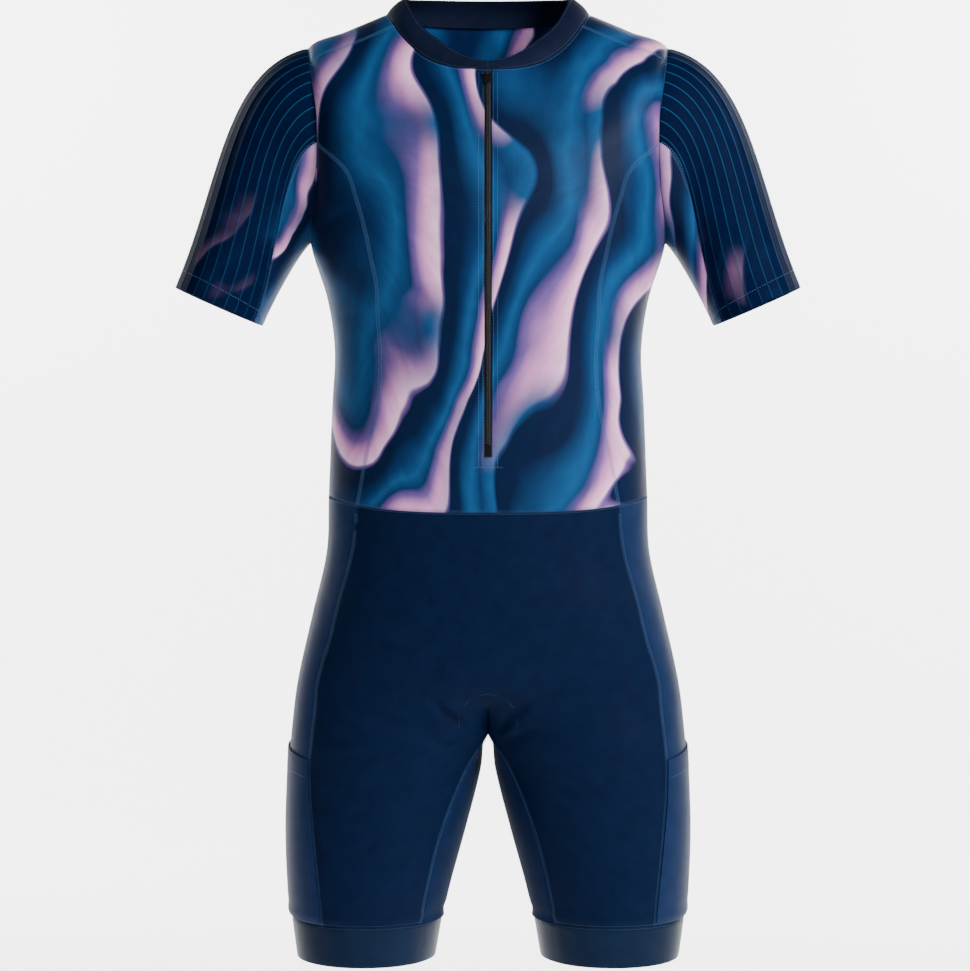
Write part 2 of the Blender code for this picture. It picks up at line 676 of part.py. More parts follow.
def collar_surface(angle, up):
    """The collar stands on the neckline and leans in, most at the wearer's sides."""
    foot = shell(angle, 0.0) + np.array((0.0, 0.0, SEAM_GAP))
    s, c = math.sin(math.radians(angle)), math.cos(math.radians(angle))
    height = collar_height(angle)
    lean = (COLLAR_END_LEAN + (COLLAR_SIDE_LEAN - COLLAR_END_LEAN) * s * s) * height / COLLAR_HEIGHT
    rise = math.sqrt(height * height - lean * lean)
    bow = COLLAR_BOW * height * math.sin(math.pi * up)
    return foot + np.array((-s * (lean * up - bow), c * (lean * up - bow), rise * up))


def build_collar(material):
    first = end_on_row(COLLAR_OPEN, 0.0, -1)
    angles = steps(first, 180.0, COLLAR_COLUMNS)
    grid = np.array([[(a, up) for a in angles] for up in (0.0, 0.5, 1.0)])
    half = cloth(grid, collar_surface, 0.3, 0.02)
    half[..., 3:6] *= -1
    half[:, -1, 0] = 0.0
    half[:, -1, 3] = 0.0
    return wall("collar", [half, mirrored(half)], COLLAR_CLOTH, material)


# ---------------------------------------------------------------- shorts
def shorts_centre(angle, side):
    """The middle line of the shorts' front or back, with a row at the fork for the side's rows."""
    fork_row = int(np.argmin([abs(t - LEG_KNOTS[0]) for _, t in side]))
    above = steps(T_WAIST, LEG_KNOTS[0], fork_row)
    below = steps(LEG_KNOTS[0], T_BAND, len(side) - 1 - fork_row)
    return [(angle, t) for t in above[:-1] + below]


def build_shorts_front(material):
    side = SHORTS_FRONT_LINE
    centre = shorts_centre(0.0, side)
    top = straight(centre[0], side[0], HALF_COLUMNS)
    bottom = straight(centre[-1], side[-1], HALF_COLUMNS)
    half = on_shell(filled(top, bottom, centre, side))
    return wall("shorts_front", [half, mirrored(half)], CLOTH, material)


def build_shorts_back(material):
    side = SHORTS_BACK_LINE
    centre = shorts_centre(180.0, side)
    top = straight(side[0], centre[0], HALF_COLUMNS)
    bottom = straight(side[-1], centre[-1], HALF_COLUMNS)
    half = on_shell(filled(top, bottom, side, centre))
    return wall("shorts_back", [half, mirrored(half)], CLOTH, material)


def side_of_shorts():
    top = straight(SHORTS_FRONT_LINE[0], SHORTS_BACK_LINE[0], SIDE_COLUMNS)
    bottom = straight(SHORTS_FRONT_LINE[-1], SHORTS_BACK_LINE[-1], SIDE_COLUMNS)
    return on_shell(filled(top, bottom, SHORTS_FRONT_LINE, SHORTS_BACK_LINE))


def build_shorts_side(side, material):
    panel = side_of_shorts()
    grids = [panel if side == "left" else mirrored(panel)]
    return wall(f"shorts_side_{side}", grids, CLOTH, material)


def build_gusset(material):
    fork_row = int(np.argmin([abs(t - LEG_KNOTS[0]) for _, t in SHORTS_FRONT_LINE]))
    rows = steps(LEG_KNOTS[0], T_BAND, SHORTS_CELLS - fork_row)
    rows.insert(1, INNER_KNOTS[2])  # the crotch curves most just below its lowest point
    grid = np.array([[(q, t) for q in steps(-1.0, 1.0, GUSSET_COLUMNS)] for t in rows])
    half = cloth(grid, gusset, 0.01, 0.0005)
    half[0, :, 0] = 0.0
    half[0, :, 3] = 0.0
    half[0, :, 3:6] /= np.linalg.norm(half[0, :, 3:6], axis=1, keepdims=True)
    return wall("shorts_inner", [half, mirrored(half)], CLOTH, material)


def build_pocket(side, material):
    """A second layer on the lower side panel, made from that panel's own points."""
    panel = side_of_shorts()
    columns = panel.shape[1]
    rows = []
    for share in POCKET_ROWS:
        rows.append([between_rows(panel, j, share) for j in range(columns)])
    for j in range(columns):
        opening = POCKET_OPENING[0] + (POCKET_OPENING[1] - POCKET_OPENING[0]) * j / (columns - 1)
        rows[0][j] = between_rows(panel, j, opening)
    pocket = lifted(np.array(rows), CLOTH + POCKET_GAP)
    pocket[0] = lifted(pocket[:1], POCKET_GAPE)[0]
    grids = [pocket if side == "left" else mirrored(pocket)]
    return wall(f"leg_pocket_{side}", grids, CLOTH, material, edge=POCKET_MARGIN)


def between_rows(made, column, place):
    """A grid's point at a fractional row, on the straight run between two rows."""
    low = min(int(place), made.shape[0] - 2)
    share = place - low
    point = made[low, column] * (1 - share) + made[low + 1, column] * share
    point[3:6] /= np.linalg.norm(point[3:6])
    return point


def band_point(turn, t):
    """Round the leg: the shell outside and the gusset inside."""
    seam = LEG_ROWS[-1].seam
    turn = (turn + seam) % 360 - seam
    if turn <= 180 + seam:
        return shell((turn + seam) * 180 / (180 + 2 * seam), t)
    return gusset((270 - turn) / (90 - seam), t)


def build_band(side, material):
    turns = steps(-90.0, 270.0, BAND_COLUMNS)
    grid = np.array([[(turn, t) for turn in turns] for t in steps(T_BAND, T_HEM, 2)])
    made = cloth(grid, band_point, 1.0, 0.0005)
    made[:, -1] = made[:, 0]
    grids = [made if side == "left" else mirrored(made)]
    return wall(f"leg_band_{side}", grids, BAND_CLOTH, material)


# ---------------------------------------------------------------- zip
def zip_lines():
    """The rows of the front that lie along the zip."""
    _, rows, zip_row = front_rows()
    return list(rows[: zip_row + 1])


def build_tape(side, material):
    rows = zip_lines()
    grid = np.array([[(end_on_row(TAPE_IN, t, -1), t), (end_on_row(TAPE_OUT, t, -1), t)] for t in rows])
    strip = lifted(on_shell(grid), -(CLOTH + SEAM_GAP))
    grids = [strip if side == "left" else mirrored(strip)]
    return wall(f"zip_tape_{side}", grids, TAPE_THICK, material, edge=0.0)


def build_coil(material):
    rows = zip_lines()
    grid = np.array([[(0.0, t), (end_on_row(COIL_BREADTH, t, -1), t)] for t in rows])
    strip = on_shell(grid)
    return wall("zip_coil", [strip, mirrored(strip)], COIL_THICK, material, edge=0.0)


def zip_frame():
    """A place on the closed zip, and the directions down it and out of it."""
    t = down_front_to(SLIDER_Z)
    down = shell(0, t + 0.002) - shell(0, t - 0.002)
    down /= np.linalg.norm(down)
    out = np.cross(down, (1.0, 0.0, 0.0))
    out /= np.linalg.norm(out)
    if out[1] > 0:
        out = -out
    return shell(0, t), down, out


def block(name, size, corner_cut):
    bpy.ops.mesh.primitive_cube_add(size=1.0)
    thing = bpy.context.object
    thing.name = name
    thing.scale = size
    bpy.ops.object.transform_apply(location=False, rotation=False, scale=True)
    bevel = thing.modifiers.new("round", "BEVEL")
    bevel.width = corner_cut
    bevel.segments = 1
    return thing


def moved_to_suit(thing, material):
    """Puts a helper object into the suit's collection, with one material."""
    for collection in list(thing.users_collection):
        collection.objects.unlink(thing)
    SUIT.objects.link(thing)
    thing.data.materials.clear()
    thing.data.materials.append(material)
    return thing


def rod(radius, length, sides=10):
    """A cylinder along X."""
    bpy.ops.mesh.primitive_cylinder_add(
        radius=radius, depth=length, vertices=sides, rotation=(0, math.pi / 2, 0)
    )
    bpy.ops.object.transform_apply(location=False, rotation=True, scale=False)
    return bpy.context.object


def joined(base, others, operation):
    """Applies Booleans of helper objects to a base object and removes the helpers."""
    for other in others:
        boolean = base.modifiers.new(operation.lower(), "BOOLEAN")
        boolean.operation = operation
        boolean.object = other
    view = bpy.context.evaluated_depsgraph_get()
    mesh = bpy.data.meshes.new_from_object(base.evaluated_get(view))
    base.modifiers.clear()
    base.data = mesh
    for other in others:
        bpy.data.objects.remove(other)
    return base


def seated(thing, place, down):
    """Turns a piece made flat, with -Y out and -Z down, to lie on the zip."""
    lean = math.atan2(down[1], -down[2])
    thing.rotation_euler = (lean, 0.0, 0.0)
    thing.location = place
    return thing


def hinge_place():
    """The zip's frame at the slider, and where the pull's pin lies over the plate."""
    place, down, out = zip_frame()
    plate_middle = SLIDER_LIFT + SLIDER_SIZE[2] / 2
    pin_height = SLIDER_SIZE[2] / 2 + SEAM_GAP + BARREL_RADIUS
    pin_up = SLIDER_SIZE[1] / 2 - LUG_SIZE[1] / 2 - LUG_MARGIN
    return place, down, out, plate_middle, pin_height, pin_up


def build_slider(material):
    place, down, out, plate_middle, pin_height, pin_up = hinge_place()
    width, length, thick = SLIDER_SIZE
    plate = block("zip_slider", (width, thick, length), 0.0004)
    lugs = []
    lug_x = PULL_TOP_WIDTH / 2 + SEAM_GAP + LUG_SIZE[0] / 2
    for sign in (-1, 1):
        lug = block("lug", (LUG_SIZE[0], LUG_SIZE[2], LUG_SIZE[1]), 0.0002)
        lug.location = (sign * lug_x, -(thick / 2 + LUG_SIZE[2] / 2 - LUG_SINK), pin_up)
        lugs.append(lug)
    pin = rod(PIN_RADIUS, 2 * lug_x)
    pin.location = (0, -pin_height, pin_up)
    joined(plate, lugs + [pin], "UNION")
    moved_to_suit(plate, material)
    return seated(plate, place + out * plate_middle, down)


def pull_tab():
    """The tab, from its barrel down: a taper with round lower corners."""
    half_top, half_end = PULL_TOP_WIDTH / 2, PULL_END_WIDTH / 2
    outline = [(-half_top, 0.0), (-half_end, -PULL_LENGTH + half_end)]
    for i in range(1, 6):
        turn = math.pi + math.pi * i / 6
        outline.append((half_end * math.cos(turn), -PULL_LENGTH + half_end + half_end * math.sin(turn)))
    outline += [(half_end, -PULL_LENGTH + half_end), (half_top, 0.0)]
    count = len(outline)
    points = [(x, -PULL_THICK / 2, z) for x, z in outline] + [(x, PULL_THICK / 2, z) for x, z in outline]
    faces = [tuple(range(count)), tuple(range(2 * count - 1, count - 1, -1))]
    faces += [((i + 1) % count, i, i + count, (i + 1) % count + count) for i in range(count)]
    mesh = bpy.data.meshes.new("zip_pull")
    mesh.from_pydata(points, [], faces)
    return mesh


def build_pull(material):
    place, down, out, plate_middle, pin_height, pin_up = hinge_place()
    tab = bpy.data.objects.new("zip_pull", pull_tab())
    bpy.context.scene.collection.objects.link(tab)
    barrel = rod(BARREL_RADIUS, PULL_TOP_WIDTH, 12)
    joined(tab, [barrel], "UNION")
    bore = rod(BARREL_BORE, PULL_TOP_WIDTH * 2, 12)
    joined(tab, [bore], "DIFFERENCE")
    moved_to_suit(tab, material)
    axis_point = place + out * (plate_middle + pin_height) - down * pin_up
    return seated(tab, axis_point, down)


# ---------------------------------------------------------------- the suit
def build_suit():
    printed = finish_of("printed cloth", PRINT_BLUE, 0.42)
    ribbed = finish_of("ribbed sleeve cloth", SLEEVE_NAVY, 0.50)
    collar = finish_of("collar cloth", COLLAR_NAVY, 0.55)
    shorts = finish_of("shorts cloth", SHORTS_NAVY, 0.55)
    panels = finish_of("side panel cloth", PANEL_NAVY, 0.38)
    band = finish_of("gripper band", BAND_NAVY, 0.36)
    zip_black = finish_of("zip", ZIP_BLACK, 0.45)
    metal = finish_of("zip slider", ZIP_BLACK, 0.30, 0.6)
    build_front(printed)
    build_back(printed)
    build_collar(collar)
    build_shorts_front(shorts)
    build_shorts_back(shorts)
    build_gusset(panels)
    build_coil(zip_black)
    for side in ("left", "right"):
        build_side_panel(side, printed)
        build_sleeve(side, ribbed, printed)
        build_shorts_side(side, panels)
        build_pocket(side, panels)
        build_band(side, band)
        build_tape(side, zip_black)
    build_slider(metal)
    build_pull(metal)


SUIT = fresh_collection("short_sleeve_triathlon_suit")
build_suit()
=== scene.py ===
"""The looks of a short-sleeve triathlon suit, filled out as it is when worn.

Every cloth panel is a thin wall on the smooth surface that its solid was cut from. The sizes of
those surfaces are the part's own, in metres: +Z up, the front faces -Y, the wearer's left is +X.
"""

import math
from collections import namedtuple

import bpy
import numpy as np
from mathutils import Matrix, Vector


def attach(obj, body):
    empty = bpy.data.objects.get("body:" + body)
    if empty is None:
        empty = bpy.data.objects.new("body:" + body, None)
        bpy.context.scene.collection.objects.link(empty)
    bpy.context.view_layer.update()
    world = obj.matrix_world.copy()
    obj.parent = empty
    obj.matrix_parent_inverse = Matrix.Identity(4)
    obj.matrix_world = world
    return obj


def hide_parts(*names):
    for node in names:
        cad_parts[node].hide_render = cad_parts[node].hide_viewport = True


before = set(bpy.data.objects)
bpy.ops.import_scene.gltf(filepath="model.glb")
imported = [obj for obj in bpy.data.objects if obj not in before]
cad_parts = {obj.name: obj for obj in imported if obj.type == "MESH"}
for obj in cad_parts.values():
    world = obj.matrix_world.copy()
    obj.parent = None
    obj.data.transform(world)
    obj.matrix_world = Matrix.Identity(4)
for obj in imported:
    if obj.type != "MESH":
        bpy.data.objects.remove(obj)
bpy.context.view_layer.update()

# ---------------------------------------------------------------- sizes shared with the part
CLOTH = 0.0012
COLLAR_CLOTH = 0.0020
BAND_CLOTH = 0.0018
SEAM_GAP = 0.0003
RIBS = 22

# The body's rings, from the neck down. fullness swells a ring between its front, side and back.
BodyRow = namedtuple("BodyRow", "name half_width side_z front front_z back back_z fullness")
BODY_ROWS = (
    BodyRow("neckline", 0.101, 0.030, 0.078, -0.037, 0.066, 0.031, 0.04),
    BodyRow("yoke", 0.141, 0.013, 0.099, -0.078, 0.088, -0.004, 0.08),
    BodyRow("shoulder", 0.179, -0.004, 0.114, -0.119, 0.104, -0.048, 0.12),
    BodyRow("armhole_top", 0.184, -0.055, 0.120, -0.150, 0.112, -0.095, 0.12),
    BodyRow("armhole_mid", 0.181, -0.125, 0.123, -0.180, 0.116, -0.150, 0.12),
    BodyRow("armpit", 0.177, -0.198, 0.122, -0.218, 0.116, -0.210, 0.11),
    BodyRow("chest", 0.160, -0.255, 0.117, -0.262, 0.112, -0.258, 0.10),
    BodyRow("ribs", 0.153, -0.305, 0.111, -0.309, 0.104, -0.306, 0.09),
    BodyRow("belly", 0.1555, -0.360, 0.107, -0.366, 0.098, -0.359, 0.08),
    BodyRow("waist", 0.159, -0.451, 0.104, -0.466, 0.098, -0.447, 0.08),
    BodyRow("high_hip", 0.161, -0.505, 0.105, -0.516, 0.107, -0.503, 0.09),
    BodyRow("hip", 0.1745, -0.565, 0.107, -0.572, 0.123, -0.565, 0.12),
    BodyRow("seat", 0.190, -0.635, 0.100, -0.633, 0.132, -0.635, 0.15),
)
# The rings of one leg. rise lifts a ring's two ends towards the crotch; seam is the inner seam's
# place, in degrees from the front.
LegRow = namedtuple("LegRow", "name centre outer inner front back z rise seam fullness")
LEG_ROWS = (
    LegRow("fork", 0.0980, 0.0985, 0.1132, 0.093, 0.117, -0.690, 0.013, 60.0, 0.06),
    LegRow("thigh_top", 0.1032, 0.0953, 0.0953, 0.092, 0.107, -0.720, 0.0, 56.0, 0.05),
    LegRow("thigh_mid", 0.1118, 0.0888, 0.0888, 0.089, 0.096, -0.780, 0.0, 46.0, 0.04),
    LegRow("thigh_low", 0.1190, 0.0795, 0.0795, 0.085, 0.088, -0.840, 0.0, 46.0, 0.02),
    LegRow("band_top", 0.1205, 0.0752, 0.0752, 0.081, 0.083, -0.8675, 0.0, 46.0, 0.0),
    LegRow("hem", 0.1213, 0.0690, 0.0690, 0.076, 0.077, -0.9075, 0.0, 46.0, 0.0),
)
CROTCH_LOW = -0.684  # the crotch's lowest point, on the middle plane
CROTCH_SPREAD = (0.005, -0.691)  # half the gap between the legs just below it, and its height
CROTCH_RUN = (0.030, 0.009)  # how far its curve runs on, above and below it

# Seams, as the half breadth of the front or back at each height
SeamRow = namedtuple("SeamRow", "z x")
FRONT_SIDE_SEAM = (
    SeamRow(-0.136, 0.1375), SeamRow(-0.165, 0.1265), SeamRow(-0.204, 0.1160),
    SeamRow(-0.240, 0.1085), SeamRow(-0.281, 0.1060), SeamRow(-0.325, 0.1040),
    SeamRow(-0.358, 0.1065), SeamRow(-0.387, 0.1120), SeamRow(-0.416, 0.1190),
)
FRONT_SIDE_SEAM_END = 0.127
BACK_SIDE_SEAM = (
    SeamRow(-0.140, 0.1450), SeamRow(-0.170, 0.1360), SeamRow(-0.210, 0.1280),
    SeamRow(-0.250, 0.1220), SeamRow(-0.290, 0.1190), SeamRow(-0.330, 0.1190),
    SeamRow(-0.360, 0.1200), SeamRow(-0.390, 0.1225), SeamRow(-0.420, 0.1250),
)
BACK_SIDE_SEAM_END = 0.128
SHORTS_FRONT_SEAM = (
    SeamRow(-0.490, 0.1295), SeamRow(-0.535, 0.1400), SeamRow(-0.565, 0.1480),
    SeamRow(-0.600, 0.1570), SeamRow(-0.645, 0.1675), SeamRow(-0.690, 0.1720),
    SeamRow(-0.735, 0.1735), SeamRow(-0.780, 0.1700), SeamRow(-0.830, 0.1650),
)
SHORTS_BACK_SEAM = (
    SeamRow(-0.490, 0.1300), SeamRow(-0.535, 0.1390), SeamRow(-0.565, 0.1470),
    SeamRow(-0.600, 0.1560), SeamRow(-0.645, 0.1650), SeamRow(-0.690, 0.1690),
    SeamRow(-0.735, 0.1700), SeamRow(-0.780, 0.1680), SeamRow(-0.830, 0.1640),
)
SHORTS_SEAM_END = 0.161
SHOULDER_SEAM_AT_NECK = 65.0  # degrees round the neckline from the front
BACK_NECK_LINE = 100.0  # and where the back panel's two stretches of rows meet
FRONT_BREAK = 0.135  # how far down the row that meets the side seam's top starts at the zip

# The armhole, as an oval seen from the side. Its angle is 0 at the top and 90 at the front.
ARMHOLE_HEIGHT = 0.194
ARMHOLE_DEPTH = 0.124
ARMHOLE_TOP = -0.004
SHOULDER_SEAM_AT = 41.0
UNDER_SEAM_AT = 93.0
BACK_CORNER_AT = 318.0

# The sleeves
CUFF_CENTRE = (0.268, -0.004, -0.262)
CUFF_BREADTH = 0.0470
CUFF_DEPTH = 0.0520
ARM_ANGLE = math.radians(23.4)
CUFF_UNDER_SEAM_AT = 152.0
HEAD_DIRECTION = (0.975, -0.22)
UNDER_DIRECTION = (0.80, -0.60)
SPREAD = 0.16  # how far the sleeve's front and back lean apart at the armhole
# How far it keeps its direction at either end, as shares of its length: under the arm, and what
# is added at the top of the shoulder
START_HOLD = (0.14, 0.175)
END_HOLD = (0.30, 0.11)
HEAD_INSET = 0.35  # its edge clears the armhole's by this share of the seam gap

# The collar
COLLAR_HEIGHT = 0.026
COLLAR_FRONT_HEIGHT = 0.009
COLLAR_FULL_AT = 36.0  # degrees from the front, where it reaches its height
COLLAR_SIDE_LEAN = 0.019  # how far its top leans in at the wearer's sides, and at its ends
COLLAR_END_LEAN = 0.009
COLLAR_BOW = 0.10  # how far it bows out between, as a share of its height
COLLAR_OPEN = 0.0004  # half the gap between its ends
COLLAR_ROOT = 0.10  # the share of its height by which it reaches down inside the neckline

# The zip
SLIT = 0.0036  # half the width of the slit
ZIP_END_Z = -0.413
TAPE_COLUMNS = (0.0028, 0.0060, 0.0110)  # half breadths from a tape's inner edge to its outer one
TAPE_THICK = 0.0010
COIL_COLUMNS = (0.0, 0.0012, 0.0024)
COIL_THICK = 0.0013
COIL_SUNK = 0.0002  # how far it lies below the cloth's surface
ZIP_STOP_SIZE = (0.0060, 0.0014, 0.0120)
ZIP_STOP_UP = 0.006  # from the zip's end to the bar's middle
ZIP_STOP_ROUNDING = 0.0005

# Pockets and bands
BAND_SEAM_AT = -54.0  # degrees round the leg from its front, towards its inside
POCKET_OPENING = (9.75 / 16, 9.10 / 16)  # shares of the side panel, at its front and back seams
POCKET_END = 15.9 / 16
POCKET_GAP = 0.0004
POCKET_GAPE = 0.0008  # more, at the opening
POCKET_MARGIN = 0.0008

# ---------------------------------------------------------------- how fine the cloth is made
FINE = 4  # cells of this script for each cell of the part's, down the body
SHOULDER_CELLS = 6 * FINE
ARM_FRONT_CELLS = 5 * FINE
ARM_UNDER_CELLS = 8 * FINE
ARM_BACK_CELLS = 5 * FINE
ARM_OVER_CELLS = 7 * FINE
SIDE_CELLS = 13 * FINE + 12
SHORTS_CELLS = 104
FRONT_COLUMNS = 44
BACK_COLUMNS = 40
SHORTS_COLUMNS = 46
SIDE_COLUMNS = 34
COLLAR_COLUMNS = 90
COLLAR_ROWS = 12
GUSSET_COLUMNS = 40
BAND_COLUMNS = 120
BAND_ROWS = 16
POCKET_ROWS = 44
SLEEVE_CELLS = 64
RIB_CELLS = 8
EDGE_INSET = 0.00003  # panels of the finished suit all but meet at their seams
HALVINGS = 40
SOLVE_ROUNDS = 30
SOLVE_STEP = (0.05, 0.0005)  # of the two shell coordinates, to see how a point moves
SOLVE_REACH = (8.0, 0.02)  # the most that a round moves them

FRONT, SIDE, BACK = 0.0, 90.0, 180.0  # angles round the body


# ---------------------------------------------------------------- surfaces
def body_points(row, angle):
    s, c = np.sin(np.radians(angle)), np.cos(np.radians(angle))
    depth = np.where(c > 0, row.front, row.back)
    middle_z = np.where(c > 0, row.front_z, row.back_z)
    x = row.half_width * s * (1 + row.fullness * c * c)
    y = -depth * c * (1 + row.fullness * s * s)
    z = middle_z + (row.side_z - middle_z) * np.abs(s) ** 3
    return np.stack([x, y, z], axis=-1)


def leg_points(row, turn):
    s, c = np.sin(np.radians(turn)), np.cos(np.radians(turn))
    breadth = np.where(s > 0, row.outer, row.inner)
    depth = np.where(c > 0, row.front, row.back)
    x = row.centre + breadth * s * (1 + row.fullness * c * c)
    y = -depth * c * (1 + row.fullness * s * s)
    z = row.z + row.rise * (np.abs(turn - 90) / (90 + row.seam)) ** 4
    return np.stack([x, y, z], axis=-1)


def ring_points(index, angle):
    if index < len(BODY_ROWS):
        return body_points(BODY_ROWS[index], angle)
    row = LEG_ROWS[index - len(BODY_ROWS)]
    return leg_points(row, -row.seam + angle * (180 + 2 * row.seam) / 180)


def unit(vectors):
    return vectors / np.linalg.norm(vectors, axis=-1, keepdims=True)


def lengths_along(points, axis=0):
    """Running lengths along lines of points, from 0."""
    steps = np.linalg.norm(np.diff(points, axis=axis), axis=-1)
    start = np.zeros_like(np.take(steps, [0], axis))
    return np.concatenate([start, np.cumsum(steps, axis)], axis)


ROW_NAMES = [row.name for row in BODY_ROWS + LEG_ROWS]
SIDE_POINTS = np.array([ring_points(i, np.array(SIDE)) for i in range(len(ROW_NAMES))])
KNOTS = lengths_along(SIDE_POINTS)
FORK = ROW_NAMES.index("fork")


def at_row(name):
    """How far down the wearer's side a ring lies."""
    return KNOTS[ROW_NAMES.index(name)]


T_FORK, T_WAIST, T_BAND, T_HEM = (at_row(name) for name in ("fork", "waist", "band_top", "hem"))


def hermite(p, q, m, n, s):
    return (
        p * (2 * s**3 - 3 * s**2 + 1)
        + m * (s**3 - 2 * s**2 + s)
        + q * (-2 * s**3 + 3 * s**2)
        + n * (s**3 - s**2)
    )


def slopes(knots, points):
    """Tangents at uneven knots; points has its knots on the first axis."""
    count = len(knots)
    low = np.maximum(np.arange(count) - 1, 0)
    high = np.minimum(np.arange(count) + 1, count - 1)
    spans = (knots[high] - knots[low]).reshape((-1,) + (1,) * (points.ndim - 1))
    return (points[high] - points[low]) / spans


def spline(knots, points, t):
    """A smooth curve through points, at an array of places along it."""
    knots, points, t = np.asarray(knots), np.asarray(points), np.atleast_1d(t)
    i = np.clip(np.searchsorted(knots, t) - 1, 0, len(knots) - 2)
    m = slopes(knots, points)
    span = (knots[i + 1] - knots[i])[:, None]
    s = (t - knots[i])[:, None] / span
    return hermite(points[i], points[i + 1], m[i] * span, m[i + 1] * span, s)


FORK_EASE = 30.0  # degrees: rings nearer the front and back lines than this bend in at the fork


def shell(angle, t):
    """The surface of the body and legs, at angles from the front and ways down the side."""
    angle, t = np.broadcast_arrays(np.asarray(angle, float), np.asarray(t, float))
    shape = angle.shape
    angle, t = angle.ravel(), t.ravel()
    rings = np.stack([ring_points(k, angle) for k in range(len(KNOTS))])
    tangents = slopes(KNOTS, rings)
    i = np.clip(np.searchsorted(KNOTS, t) - 1, 0, len(KNOTS) - 2)
    column = np.arange(len(t))
    span = (KNOTS[i + 1] - KNOTS[i])[:, None]
    m, n = tangents[i, column] * span, tangents[i + 1, column] * span
    ease = np.minimum(1.0, np.sin(np.radians(angle)) / math.sin(math.radians(FORK_EASE)))
    n[:, 0] *= np.where(i + 1 == FORK, ease, 1.0)
    s = (t - KNOTS[i])[:, None] / span
    return hermite(rings[i, column], rings[i + 1, column], m, n, s).reshape(shape + (3,))


INNER_KNOTS = np.concatenate([[T_FORK - CROTCH_RUN[0], T_FORK, T_FORK + CROTCH_RUN[1]], KNOTS[FORK + 1:]])
INNER_LINE = np.array(
    [
        (-CROTCH_SPREAD[0], 0.0, CROTCH_SPREAD[1]),
        (0.0, 0.0, CROTCH_LOW),
        (CROTCH_SPREAD[0], 0.0, CROTCH_SPREAD[1]),
    ]
    + [tuple(leg_points(row, np.array(-90.0))) for row in LEG_ROWS[1:]]
)


def gusset(across, t):
    """The surface between the legs: across runs from -1 at the front seam to 1 at the back."""
    across, t = np.broadcast_arrays(np.asarray(across, float), np.asarray(t, float))
    shape = across.shape
    q, t = across.ravel()[:, None], t.ravel()
    front, back = shell(np.zeros_like(t), t), shell(np.full_like(t, 180.0), t)
    middle = spline(INNER_KNOTS, INNER_LINE, t)
    made = front * q * (q - 1) / 2 + middle * (1 - q * q) + back * q * (q + 1) / 2
    return made.reshape(shape + (3,))


# A surface, the steps in its two coordinates that its normals are taken over, and 1 or -1 so that
# they face out
Surface = namedtuple("Surface", "at du dv sign")
SHELL = Surface(shell, 0.2, 0.0005, 1.0)
GUSSET = Surface(gusset, 0.01, 0.0005, 1.0)


def normals(surface, u, v):
    along = surface.at(u, v + surface.dv) - surface.at(u, v - surface.dv)
    across = surface.at(u + surface.du, v) - surface.at(u - surface.du, v)
    return unit(surface.sign * np.cross(along, across))


def shell_where(u, v, goal, axes):
    """Shell coordinates, found from a guess, whose points have the goal values on two axes."""
    u, v, goal = np.array(u, float), np.array(v, float), np.array(goal, float)
    du, dv = SOLVE_STEP
    for _ in range(SOLVE_ROUNDS):
        here = shell(u, v)[..., axes]
        miss = goal - here
        by_u = (shell(u + du, v)[..., axes] - here) / du
        by_v = (shell(u, v + dv)[..., axes] - here) / dv
        area = by_u[..., 0] * by_v[..., 1] - by_u[..., 1] * by_v[..., 0]
        more_u = (miss[..., 0] * by_v[..., 1] - miss[..., 1] * by_v[..., 0]) / area
        more_v = (by_u[..., 0] * miss[..., 1] - by_u[..., 1] * miss[..., 0]) / area
        u += np.clip(more_u, -SOLVE_REACH[0], SOLVE_REACH[0])
        v += np.clip(more_v, -SOLVE_REACH[1], SOLVE_REACH[1])
    return np.stack([u, v], axis=-1)


def halved(low, high, too_low):
    """Where a test changes between two values, or two arrays of them."""
    for _ in range(HALVINGS):
        middle = (low + high) / 2
        below = too_low(middle)
        low, high = np.where(below, middle, low), np.where(below, high, middle)
    return (low + high) / 2


def angle_at(x, t, line=FRONT):
    """The angles at which rows of the shell have the half breadth x, in front or behind."""
    t = np.asarray(t, float)
    ends = np.full(t.shape, line), np.full(t.shape, SIDE)
    return halved(*ends, lambda angle: shell(angle, t)[..., 0] < x)


def down_front(x, t):
    """Shell coordinates of a line down the front with the half breadth x."""
    angles = angle_at(x, t) if x else np.zeros(len(t))
    return np.stack([angles, t], axis=1)


def down_front_to(height):
    """How far down the shell its front line has a height."""
    return float(halved(0.0, T_FORK, lambda t: shell(FRONT, t)[..., 2] > height))


# ---------------------------------------------------------------- seams on the shell
# First guesses, which the solving only starts from
METRES_A_DEGREE = 0.0025  # along the armhole
SEAM_GUESS = {FRONT: 60.0, BACK: 120.0}


def armhole_on_shell(turns):
    """Shell coordinates of the armhole's edge, an oval seen from the side."""
    y = -ARMHOLE_DEPTH / 2 * np.sin(np.radians(turns))
    z = ARMHOLE_TOP - ARMHOLE_HEIGHT / 2 * (1 - np.cos(np.radians(turns)))
    share = (z - ARMHOLE_TOP) / -ARMHOLE_HEIGHT
    guess = at_row("shoulder") + share * (at_row("armpit") - at_row("shoulder"))
    return shell_where(SIDE + y / METRES_A_DEGREE, guess, np.stack([y, z], axis=-1), [1, 2])


def resample(points, count):
    """Points of a smooth line through shell coordinates, evenly spaced."""
    points = np.array(points, float)
    knots = lengths_along(shell(points[:, 0], points[:, 1]))
    return spline(knots, points, np.linspace(0.0, knots[-1], count + 1))


def seam_points(rows, line):
    x, z = np.array([r.x for r in rows]), np.array([r.z for r in rows])
    t = np.interp(-z, -SIDE_POINTS[:, 2], KNOTS)
    guess = np.full(len(rows), SEAM_GUESS[line])
    return list(shell_where(guess, t, np.stack([x, z], axis=-1), [0, 2]))


